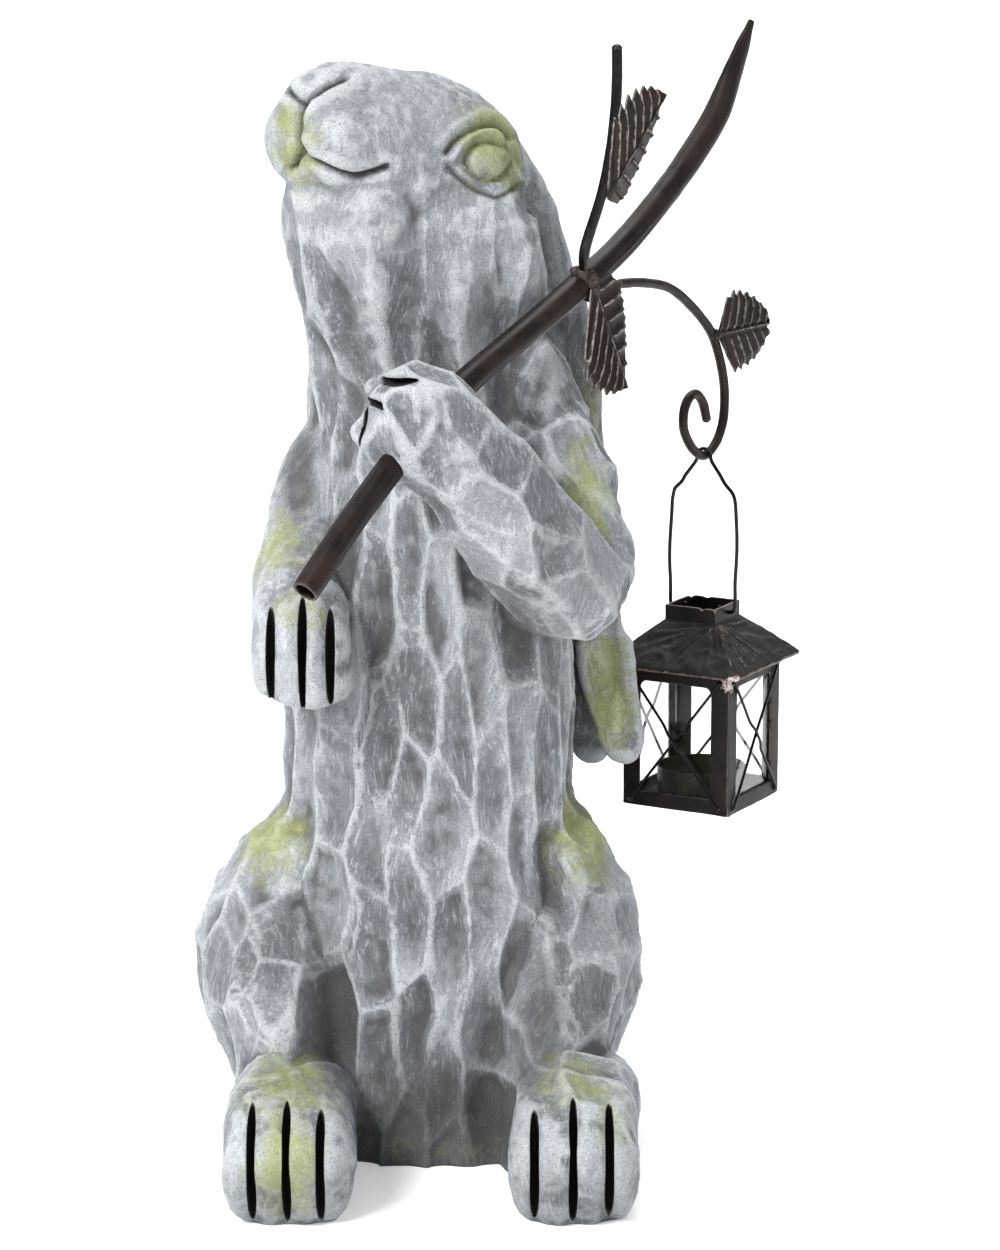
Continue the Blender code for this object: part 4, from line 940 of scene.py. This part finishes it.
def buildRoof(material):
    # a square ring carried round the sheet's outline: rim, slope, collar, then back on the inside
    shape = lanternShape
    tin, eave, collar = shape["tin"], shape["eaveSide"] / 2 - 0.12, shape["collarSide"] / 2
    tall, eaveZ = shape["collarHeight"] / 2, lanternLevels()[0]
    slope = shape["rise"] / (eave - collar)
    under = tin * math.hypot(1, slope)
    outer = [(eave, eaveZ - shape["eaveDrop"]), (eave, eaveZ - 0.25), (eave - 0.25, eaveZ + 0.12)]
    outer += [(eave + (collar - eave) * t, eaveZ + shape["rise"] * t) for t in np.linspace(0.04, 1, 42)]
    outer += [(collar, -tall + 2 * tall * t) for t in np.linspace(0.08, 1, 12)]
    inner = [(collar - tin, -tall + 2 * tall * t) for t in np.linspace(1, 0.0, 12)]
    inner += [(eave - tin + (collar - eave) * t, eaveZ - under + tin * slope + shape["rise"] * t)
              for t in np.linspace(0.96, 0, 42)]
    inner += [(eave - tin, eaveZ - shape["eaveDrop"])]
    outline = np.array(outer + inner)
    ring = squareRing(64)
    xy = outline[:, None, :1] * ring[None]
    z = np.broadcast_to(outline[:, None, 1], xy.shape[:2]).copy()
    reach = outline[:, :1]
    onSlope = ramp(reach, collar + 0.2, collar + 2.5) * (1 - ramp(reach, eave - 3, eave))
    flat = np.stack([xy[..., 0], xy[..., 1], 0 * z], -1).reshape(-1, 3)
    fromCorner = flat - (collar, -collar, 0)
    swing = np.arctan2(fromCorner[:, 1], fromCorner[:, 0])
    far = np.hypot(fromCorner[:, 0], fromCorner[:, 1])
    fan = np.stack([swing * 9, far / 16, 0 * far], axis=1)
    rightSide = 0.6 + 0.7 * ramp(flat[:, 0] - np.abs(flat[:, 1]), -4, 4)
    folds = 0.75 * crumpled(fan, 1.1, 3) * np.exp(-far / 34) * rightSide
    folds += 0.40 * crumpled(flat, 8.0, 7) + 0.26 * crumpled(flat + 2 * softNoise(flat, 5, 2)[:, None], 3.4, 9)
    z = z + folds.reshape(z.shape) * onSlope
    onCollar = ramp(z, -tall + 1, tall) * (reach < collar + 0.01)
    for place, deep, wide in shape["dents"]:
        z = z - deep * bell(np.linalg.norm(xy - np.array(place), axis=-1), wide) * onCollar
    p = np.stack([xy[..., 0], xy[..., 1], z], -1).reshape(-1, 3)
    p = p + 0.22 * np.stack([softNoise(p, 9, k) for k in (5, 6, 7)], axis=1)
    faces = gridFaces(len(outline), len(ring), closed=(True, True))
    roof = wornPiece("roof_sheet", lanternPlace(p), faces, material, 2, 5, 30)
    chip = np.linalg.norm((p - (eave, -eave, eaveZ - 1)) / (4.5, 4.5, 3.0), axis=1)
    writeMask(roof.data, "chip", 1.3 - chip + 0.4 * softNoise(p, 1.6, 4))
    return roof


def warped(p):
    # the sheet's slight bends, and the flare of the lower front corner
    shape = lanternShape
    p = p + 0.18 * np.stack([softNoise(p, 15, k) for k in (15, 16, 17)], axis=1)
    p = p + 0.06 * np.stack([softNoise(p, 4, k) for k in (25, 26, 27)], axis=1)
    corner = np.array((shape["caseSide"] / 2, -shape["caseSide"] / 2, lanternLevels()[1]))
    return p + bell(np.linalg.norm(p - corner, axis=1), 5.0)[:, None] * np.array((0.8, -0.8, 0))


def buildCase(material):
    # four walls: rings from the window's outline to the wall's, in front and behind, with rounded posts
    shape = lanternShape
    half, tin, soft = shape["caseSide"] / 2, shape["tin"], 1.0
    eaveZ, bottom = lanternLevels()
    slope = shape["rise"] / ((shape["eaveSide"] - shape["collarSide"]) / 2)
    top = eaveZ + (shape["eaveSide"] / 2 - half) * slope - tin * math.hypot(1, slope) - shape["gap"]
    wide, low, high = half - shape["post"], bottom + shape["rail"], eaveZ - shape["topBand"]
    turn = np.linspace(0, math.pi / 4, 5)
    corner = shape["corner"]
    c, s = corner * np.cos(turn), corner * np.sin(turn)
    lift = np.stack([wide - corner + c, high - corner + s], axis=1)
    over = np.stack([wide - corner + s, high - corner + c], axis=1)[::-1]
    flip = np.array((-1, 1))
    edge = half - soft + soft * math.pi / 4
    steps = (40, 56, 40, 56)                # points along the bottom, the right, the top and the left
    window = [[(-wide, low), (wide, low)], [(wide, low), *lift], [*over, *(over[::-1] * flip)],
              [*(lift[::-1] * flip), (-wide, low)]]
    wall = [[(-edge, bottom), (edge, bottom)], [(edge, bottom), (edge, top)],
            [(edge, top), (-edge, top)], [(-edge, top), (-edge, bottom)]]
    window, wall = (np.vstack([divided(*line) for line in zip(lines, steps)]) for lines in (window, wall))
    t = np.array([0, 0.03, 0.08, 0.2, 0.35, 0.5, 0.65, 0.8, 0.87, 0.9, 0.925, 0.95, 0.975, 1.0])
    rings = np.concatenate([t, t[::-1]])[:, None, None]
    plane = window[None] + rings * (wall - window)[None]
    depth = np.concatenate([-0.18 * (t < 0.01), -tin + 0 * t])[:, None] * np.ones(len(window))
    bend = np.clip(np.abs(plane[..., 0]) - (half - soft), 0, None) / soft
    flat = np.minimum(np.abs(plane[..., 0]), half - soft)
    a = np.sign(plane[..., 0]) * (flat + (soft + depth) * np.sin(bend))
    d = half - soft + (soft + depth) * np.cos(bend)
    one = np.stack([a, -d, plane[..., 1]], -1).reshape(-1, 3)
    faces = gridFaces(len(rings), len(window), closed=(True, True))
    parts = [(one @ quarterTurn(number), faces) for number in range(4)]
    inner = half - tin - 0.05
    parts.append(box((-inner, -inner, bottom), (inner, inner, bottom + tin)))
    v, faces = joined(parts)
    case = wornPiece("case_sheet", lanternPlace(warped(v)), faces, material, 2, 6, 30)
    chip = np.linalg.norm((v - (half, -half, eaveZ - 4.5)) / (6.5, 6.5, 5.0), axis=1)
    writeMask(case.data, "chip", 1.25 - chip + 0.35 * softNoise(v, 1.6, 4))
    return case


def buildCrossWires(material):
    shape = lanternShape
    eaveZ, bottom = lanternLevels()
    radius = shape["wireRadius"]
    lift = shape["caseSide"] / 2 + radius + shape["gap"] - 0.1
    low, high = bottom + 4 * radius, eaveZ - shape["topBand"] + 3
    out = shape["caseSide"] / 2 - shape["wireInset"]
    over = 2 * radius + shape["gap"] - 0.1
    wires = []
    for number in range(4):
        for letter, hand in (("a", 1), ("b", -1)):
            t = np.linspace(0, 1, 70)
            bow = 0 * t if hand > 0 else over * ramp(0.5 - np.abs(t - 0.5), 0.36, 0.46)
            bow = bow + 0.25 * np.sin(math.pi * t) * np.sin(7 * t + number)
            middle = np.stack([hand * out * (2 * t - 1), -lift - bow, low + (high - low) * t], axis=1)
            parts = [rod(middle, radius, (0, 1, 0), 12)]
            parts += [bead(middle[k] + (0, 0.5, 0), (1.5, 0.9, 1.4), number + 5 * (k == 0)) for k in (0, -1)]
            v, faces = joined(parts)
            points = lanternPlace(v @ quarterTurn(number))
            wire = wornPiece(f"wire_{number + 1}{letter}", points, faces, material, 3, 4)
            wires.append((wire, f"cross_wire_{number + 1}{letter}"))
    return wires


def buildCup(material):
    # rings of a profile of radius and height, closed at the bottom and on the inner floor
    shape, sides = lanternShape, 96
    low = lanternLevels()[1] + shape["tin"] + shape["gap"]
    rows = smoothPath(shape["cup"], 4)
    turn = 2 * np.pi * np.arange(sides) / sides
    rings = np.stack([rows[:, :1] * np.cos(turn), rows[:, :1] * np.sin(turn), rows[:, 1:] + low + 0 * turn], -1)
    points = lanternPlace(rings.reshape(-1, 3))
    return wornPiece("cup_tin", points, tubeFaces(len(rows), sides), material, 3, 5)


# Shader groups and materials


def newGroup(name, inputs, outputs):
    group = bpy.data.node_groups.new(name, "ShaderNodeTree")
    for label, kind, value in inputs:
        socket = group.interface.new_socket(label, in_out="INPUT", socket_type=kind)
        if value is not None:
            socket.default_value = value
    for label, kind in outputs:
        group.interface.new_socket(label, in_out="OUTPUT", socket_type=kind)
    return group, group.nodes.new("NodeGroupInput"), group.nodes.new("NodeGroupOutput")


def put(tree, kind, inputs=None, **settings):
    # a node with its settings; an input, by name or number, takes a number, a tuple or another node's output
    node = tree.nodes.new(kind)
    for key, value in settings.items():
        setattr(node, key, value)
    for key, source in (inputs or {}).items():
        socket = node.inputs[key]
        if isinstance(source, (int, float, tuple)):
            socket.default_value = (*source, 1.0) if socket.type == "RGBA" else source
        else:
            tree.links.new(source, socket)
    return node


def noise(tree, vector, scale, detail=3.0, rough=0.55):
    inputs = {"Vector": vector, "Scale": scale, "Detail": detail, "Roughness": rough}
    return put(tree, "ShaderNodeTexNoise", inputs).outputs["Fac"]


def sums(tree, operation, a, b):
    return put(tree, "ShaderNodeMath", {0: a, 1: b}, operation=operation).outputs[0]


def between(tree, value, low, high, outLow=0.0, outHigh=1.0):
    inputs = {0: value, 1: low, 2: high, 3: outLow, 4: outHigh}
    return put(tree, "ShaderNodeMapRange", inputs, clamp=True).outputs[0]


def blended(tree, fac, a, b):
    # colour a turned into colour b by fac
    return put(tree, "ShaderNodeMix", {0: fac, 6: a, 7: b}, data_type="RGBA").outputs[2]


def attribute(tree, name):
    return put(tree, "ShaderNodeAttribute", attribute_name=name).outputs["Fac"]


def stretched(tree, vector, scale, turn=(0, 0, 0)):
    return put(tree, "ShaderNodeMapping", {"Vector": vector, "Rotation": turn, "Scale": scale}).outputs[0]


def objectPlace(tree, scale=(1, 1, 1)):
    return stretched(tree, tree.nodes.new("ShaderNodeTexCoord").outputs["Object"], scale)


def newMaterial(name, **values):
    # the values are set on the shader's own sockets, an underscore stands for a space
    material = bpy.data.materials.new(name)
    material.use_nodes = True
    shader = material.node_tree.nodes["Principled BSDF"]
    for label, value in values.items():
        shader.inputs[label.replace("_", " ")].default_value = value
    return material, material.node_tree, shader


def bumped(tree, shader, height, strength, distance):
    bump = put(tree, "ShaderNodeBump", {"Strength": strength, "Distance": distance, "Height": height})
    tree.links.new(bump.outputs[0], shader.inputs["Normal"])


# the last colour is near-black painted shade for the claw slits and the face's grooves
stoneColours = {
    "mid": (0.290, 0.310, 0.334), "cool": (0.135, 0.147, 0.162), "deep": (0.050, 0.049, 0.048),
    "pale": (0.650, 0.672, 0.695), "moss": (0.200, 0.215, 0.060), "mossPale": (0.370, 0.390, 0.160),
    "slit": (0.010, 0.010, 0.010),
}


def castStone():
    material, tree, shader = newMaterial("cast_stone")
    colours = stoneColours
    place = objectPlace(tree)
    bend = put(tree, "ShaderNodeTexNoise", {"Vector": place, "Scale": 16.0, "Detail": 1.0}).outputs["Color"]
    bend = put(tree, "ShaderNodeVectorMath", {"Vector": bend, "Scale": 0.035}, operation="SCALE").outputs[0]
    bent = put(tree, "ShaderNodeVectorMath", {0: place, 1: bend}, operation="ADD").outputs[0]
    broad = noise(tree, place, 22, 4)
    strokes = noise(tree, stretched(tree, bent, (1, 1, 0.2)), 330, 4, 0.75)
    sweeps = noise(tree, objectPlace(tree, (1, 0.6, 0.35)), 120, 5, 0.7)
    tilted = noise(tree, stretched(tree, bent, (1, 1, 0.12), (0.5, 0.9, 0.0)), 560, 3, 0.6)
    crossed = noise(tree, stretched(tree, bent, (1, 1, 0.12), (-0.3, -1.1, 0.4)), 620, 3, 0.6)
    scratches = sums(tree, "MAXIMUM", tilted, crossed)
    grain = noise(tree, place, 1150, 3, 0.75)
    speck = noise(tree, place, 700, 2, 0.5)
    raised, hollow, ridge = attribute(tree, "raised"), attribute(tree, "hollow"), attribute(tree, "ridge")
    tone = sums(tree, "ADD", broad, between(tree, attribute(tree, "own"), 0, 1, -0.22, 0.22))
    base = blended(tree, between(tree, tone, 0.38, 0.60), colours["cool"], colours["mid"])
    # dry brushing: pale lines on the ridges and thin pale strokes, both broken up
    line = sums(tree, "MULTIPLY", ridge, between(tree, sweeps, 0.36, 0.62, 0.15, 1.0))
    line = sums(tree, "MAXIMUM", line, between(tree, raised, 0.62, 1.0, 0.0, 0.75))
    # what lies low is darkened: partly a real dark wash, partly painted shade in the hollows and creases
    washAndShade = sums(tree, "ADD", hollow, between(tree, broad, 0.35, 0.65, -0.12, 0.12))
    # painted shade: the shade mask, broken up by the sweeps, darkens the stone towards deep
    paintedShade = sums(tree, "ADD", attribute(tree, "shade"), between(tree, sweeps, 0.3, 0.7, -0.3, 0.15))
    broken = between(tree, noise(tree, place, 90, 6, 0.7), 0.32, 0.68, -0.45, 0.3)
    broken = sums(tree, "ADD", broken, between(tree, hollow, 0, 1, -0.05, 0.3))
    mossy = attribute(tree, "moss")
    green = sums(tree, "ADD", mossy, sums(tree, "MULTIPLY", broken, between(tree, mossy, 0.05, 0.5)))
    moss = blended(tree, between(tree, sweeps, 0.35, 0.65), colours["moss"], colours["mossPale"])
    pale, deep, slit = colours["pale"], colours["deep"], colours["slit"]
    # the last two masks paint near-black shade into the face's grooves and the claw slits
    for mask, colour in (
            (sums(tree, "MULTIPLY", line, 0.62), pale), (between(tree, sweeps, 0.54, 0.76, 0.0, 0.42), pale),
            (between(tree, strokes, 0.54, 0.68, 0.0, 0.24), pale),
            (between(tree, strokes, 0.32, 0.46, 0.26, 0.0), deep),
            (between(tree, scratches, 0.58, 0.68, 0.0, 0.36), pale),
            (between(tree, washAndShade, 0.2, 0.9, 0.0, 0.8), deep), (between(tree, paintedShade, 0.1, 0.9, 0.0, 0.85), deep),
            (between(tree, green, 0.2, 0.85, 0.0, 0.82), moss),
            (between(tree, speck, 0.64, 0.75, 0.0, 0.18), pale),
            (between(tree, grain, 0.34, 0.48, 0.6, 0.0), deep),
            (sums(tree, "MULTIPLY", attribute(tree, "creaseShade"), 0.9), slit), (attribute(tree, "slit"), slit)):
        base = blended(tree, mask, base, colour)
    tree.links.new(base, shader.inputs["Base Color"])
    tree.links.new(between(tree, speck, 0.3, 0.7, 0.80, 0.95), shader.inputs["Roughness"])
    height = sums(tree, "ADD", sums(tree, "MULTIPLY", strokes, 0.8), sums(tree, "MULTIPLY", grain, 0.7))
    height = sums(tree, "ADD", height, sums(tree, "MULTIPLY", sweeps, 0.8))
    bumped(tree, shader, height, 0.9, 0.0009)
    return material


def wornGroup():
    # where paint is worn off edges and how its skin is roughened, shared by the painted metals
    group, inside, outside = newGroup("worn_paint", [
        ("Place", "NodeSocketVector", None), ("Edge", "NodeSocketFloat", 0.0),
        ("Grain Scale", "NodeSocketFloat", 900.0)],
        [("Worn", "NodeSocketFloat"), ("Grain", "NodeSocketFloat"), ("Patches", "NodeSocketFloat")])
    place = inside.outputs["Place"]
    broken = noise(group, place, 260, 4, 0.65)
    patches = noise(group, place, 60, 4, 0.6)
    grain = noise(group, place, inside.outputs["Grain Scale"], 3, 0.7)
    worn = sums(group, "ADD", inside.outputs["Edge"], between(group, broken, 0.3, 0.7, -0.5, 0.25))
    group.links.new(between(group, worn, 0.35, 0.75), outside.inputs["Worn"])
    group.links.new(grain, outside.inputs["Grain"])
    group.links.new(patches, outside.inputs["Patches"])
    return group


def paintedMetal(name, group, finish):
    material, tree, shader = newMaterial(name, Metallic=finish["metallic"], Specular_IOR_Level=finish["shine"])
    place = objectPlace(tree)
    worn = put(tree, "ShaderNodeGroup", {"Place": place, "Edge": attribute(tree, "edge")}, node_tree=group)
    patches, grain = worn.outputs["Patches"], worn.outputs["Grain"]
    base = blended(tree, between(tree, patches, 0.4, 0.62), finish["dark"], finish["warm"])
    share = sums(tree, "MULTIPLY", worn.outputs["Worn"], finish["share"])
    base = blended(tree, share, base, finish["worn"])
    base = blended(tree, between(tree, grain, 0.66, 0.78, 0.0, 0.35), base, finish["worn"])
    if "bare" in finish:            # paint chipped off to bare metal and rust
        chip = between(tree, attribute(tree, "chip"), 0.35, 0.6)
        speck = noise(tree, place, 1100, 2, 0.6)
        bare = blended(tree, between(tree, speck, 0.5, 0.6), finish["bare"], finish["rust"])
        base = blended(tree, chip, base, bare)
    tree.links.new(base, shader.inputs["Base Color"])
    rough = between(tree, patches, 0.35, 0.65, finish["rough"], finish["rough"] + 0.16)
    tree.links.new(sums(tree, "ADD", rough, sums(tree, "MULTIPLY", share, 0.2)), shader.inputs["Roughness"])
    bumped(tree, shader, grain, 0.5, finish["bump"])
    return material


def clearGlass():
    return newMaterial("clear_glass", Base_Color=(0.97, 0.985, 0.98, 1), Roughness=0.02,
                       Transmission_Weight=1.0, IOR=1.45)[0]


ironFinish = {
    "dark": (0.007, 0.004, 0.0035), "warm": (0.017, 0.009, 0.007), "worn": (0.085, 0.060, 0.050),
    "share": 0.5, "rough": 0.36, "metallic": 0.2, "shine": 0.24, "bump": 0.00008,
}
leafFinish = {
    "dark": (0.009, 0.006, 0.005), "warm": (0.022, 0.013, 0.010), "worn": (0.300, 0.260, 0.235),
    "share": 0.8, "rough": 0.42, "metallic": 0.2, "shine": 0.28, "bump": 0.00010,
}
rodFinish = {
    "dark": (0.002, 0.002, 0.002), "warm": (0.005, 0.003, 0.003), "worn": (0.050, 0.042, 0.038),
    "share": 0.3, "rough": 0.12, "metallic": 0.0, "shine": 0.22, "bump": 0.00005,
}
tinFinish = {
    "dark": (0.007, 0.006, 0.006), "warm": (0.015, 0.011, 0.010), "worn": (0.240, 0.190, 0.165),
    "bare": (0.66, 0.63, 0.60), "rust": (0.22, 0.05, 0.03),
    "share": 0.75, "rough": 0.40, "metallic": 0.0, "shine": 0.22, "bump": 0.00006,
}


# The camera, the floor and the light

studio = {
    "camera": (0.033, -1.95259201, 0.67187923),
    "tilt": math.radians(77.5),
    "lens": 126.593,
    "floorReach": 60.0,
    "glow": 0.30,
    "sky": 0.55,
    "lights": {                     # place, size and power
        "key": ((-1.25, -1.9, 1.9), 0.8, 92), "fill": ((1.9, -1.6, 1.1), 1.6, 10),
        "top": ((0.1, 0.5, 2.6), 1.2, 36), "back": ((0.0, 7.0, 5.0), 9.0, 520),
    },
}


def buildStudio():
    camera = bpy.data.objects.new("camera", bpy.data.cameras.new("camera"))
    camera.location = studio["camera"]
    camera.rotation_euler = (studio["tilt"], 0, 0)
    camera.data.lens = studio["lens"]
    camera.data.sensor_width = 36
    bpy.context.scene.collection.objects.link(camera)
    bpy.context.scene.camera = camera
    reach = studio["floorReach"]
    corners = [(-reach, -reach, 0), (reach, -reach, 0), (reach, reach, 0), (-reach, reach, 0)]
    material, tree, shader = newMaterial("pale_floor", Base_Color=(0.90, 0.90, 0.895, 1), Roughness=0.9,
                                         Specular_IOR_Level=0.2, Emission_Color=(1, 1, 1, 1))
    # the floor glows a little for every ray but those that light the object
    bounced = put(tree, "ShaderNodeLightPath").outputs["Is Diffuse Ray"]
    tree.links.new(between(tree, bounced, 0, 1, studio["glow"], 0.0), shader.inputs["Emission Strength"])
    floor = newPiece("floor", corners, [(0, 1, 2, 3)], material)
    for name, (place, size, power) in studio["lights"].items():
        light = bpy.data.objects.new(name, bpy.data.lights.new(name, "AREA"))
        light.data.size = size
        light.data.energy = power
        light.location = place
        aim = Vector((0.03, max(0, place[1]), 0.25)) - Vector(place)
        light.rotation_euler = aim.to_track_quat("-Z", "Y").to_euler()
        bpy.context.scene.collection.objects.link(light)
    world = bpy.data.worlds.new("studio")
    world.use_nodes = True
    sky = world.node_tree.nodes["Background"]
    sky.inputs[0].default_value = (0.93, 0.95, 1.0, 1)
    sky.inputs[1].default_value = studio["sky"]
    bpy.context.scene.world = world
    bpy.context.scene.view_settings.view_transform = "Standard"
    print("studio set")


buildStudio()
stone = castStone()
rabbit = buildRabbit(stone)
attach(rabbit, "statue")
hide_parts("rabbit")
print("rabbit done")

worn = wornGroup()
iron = paintedMetal("dark_iron", worn, ironFinish)
leafIron = paintedMetal("leaf_iron", worn, leafFinish)
gloss = paintedMetal("gloss_iron", worn, rodFinish)
tin = paintedMetal("black_tin", worn, tinFinish)
glass = clearGlass()


def fitted(piece, body, node):
    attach(piece, body)
    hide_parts(node)


fitted(buildBranch(iron), "statue", "branch")
fitted(buildTwig(gloss), "statue", "twig")
fitted(buildHookArm(iron), "statue", "hook_arm")
for leaf, node in zip(buildLeaves(leafIron), ("leaf_upper", "leaf_lower", "leaf_hook")):
    fitted(leaf, "statue", node)
fitted(buildBail(gloss), "statue", "bail")
print("branch and hook done")
fitted(buildRoof(tin), "lantern", "lantern_roof")
fitted(buildCase(tin), "lantern", "lantern_case")
fitted(buildCup(tin), "lantern", "candle_cup")
for wire, node in buildCrossWires(gloss):
    fitted(wire, "lantern", node)
for number in range(4):
    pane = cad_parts[f"glass_pane_{number + 1}"]
    pane.data.materials.clear()
    pane.data.materials.append(glass)
print("lantern done")
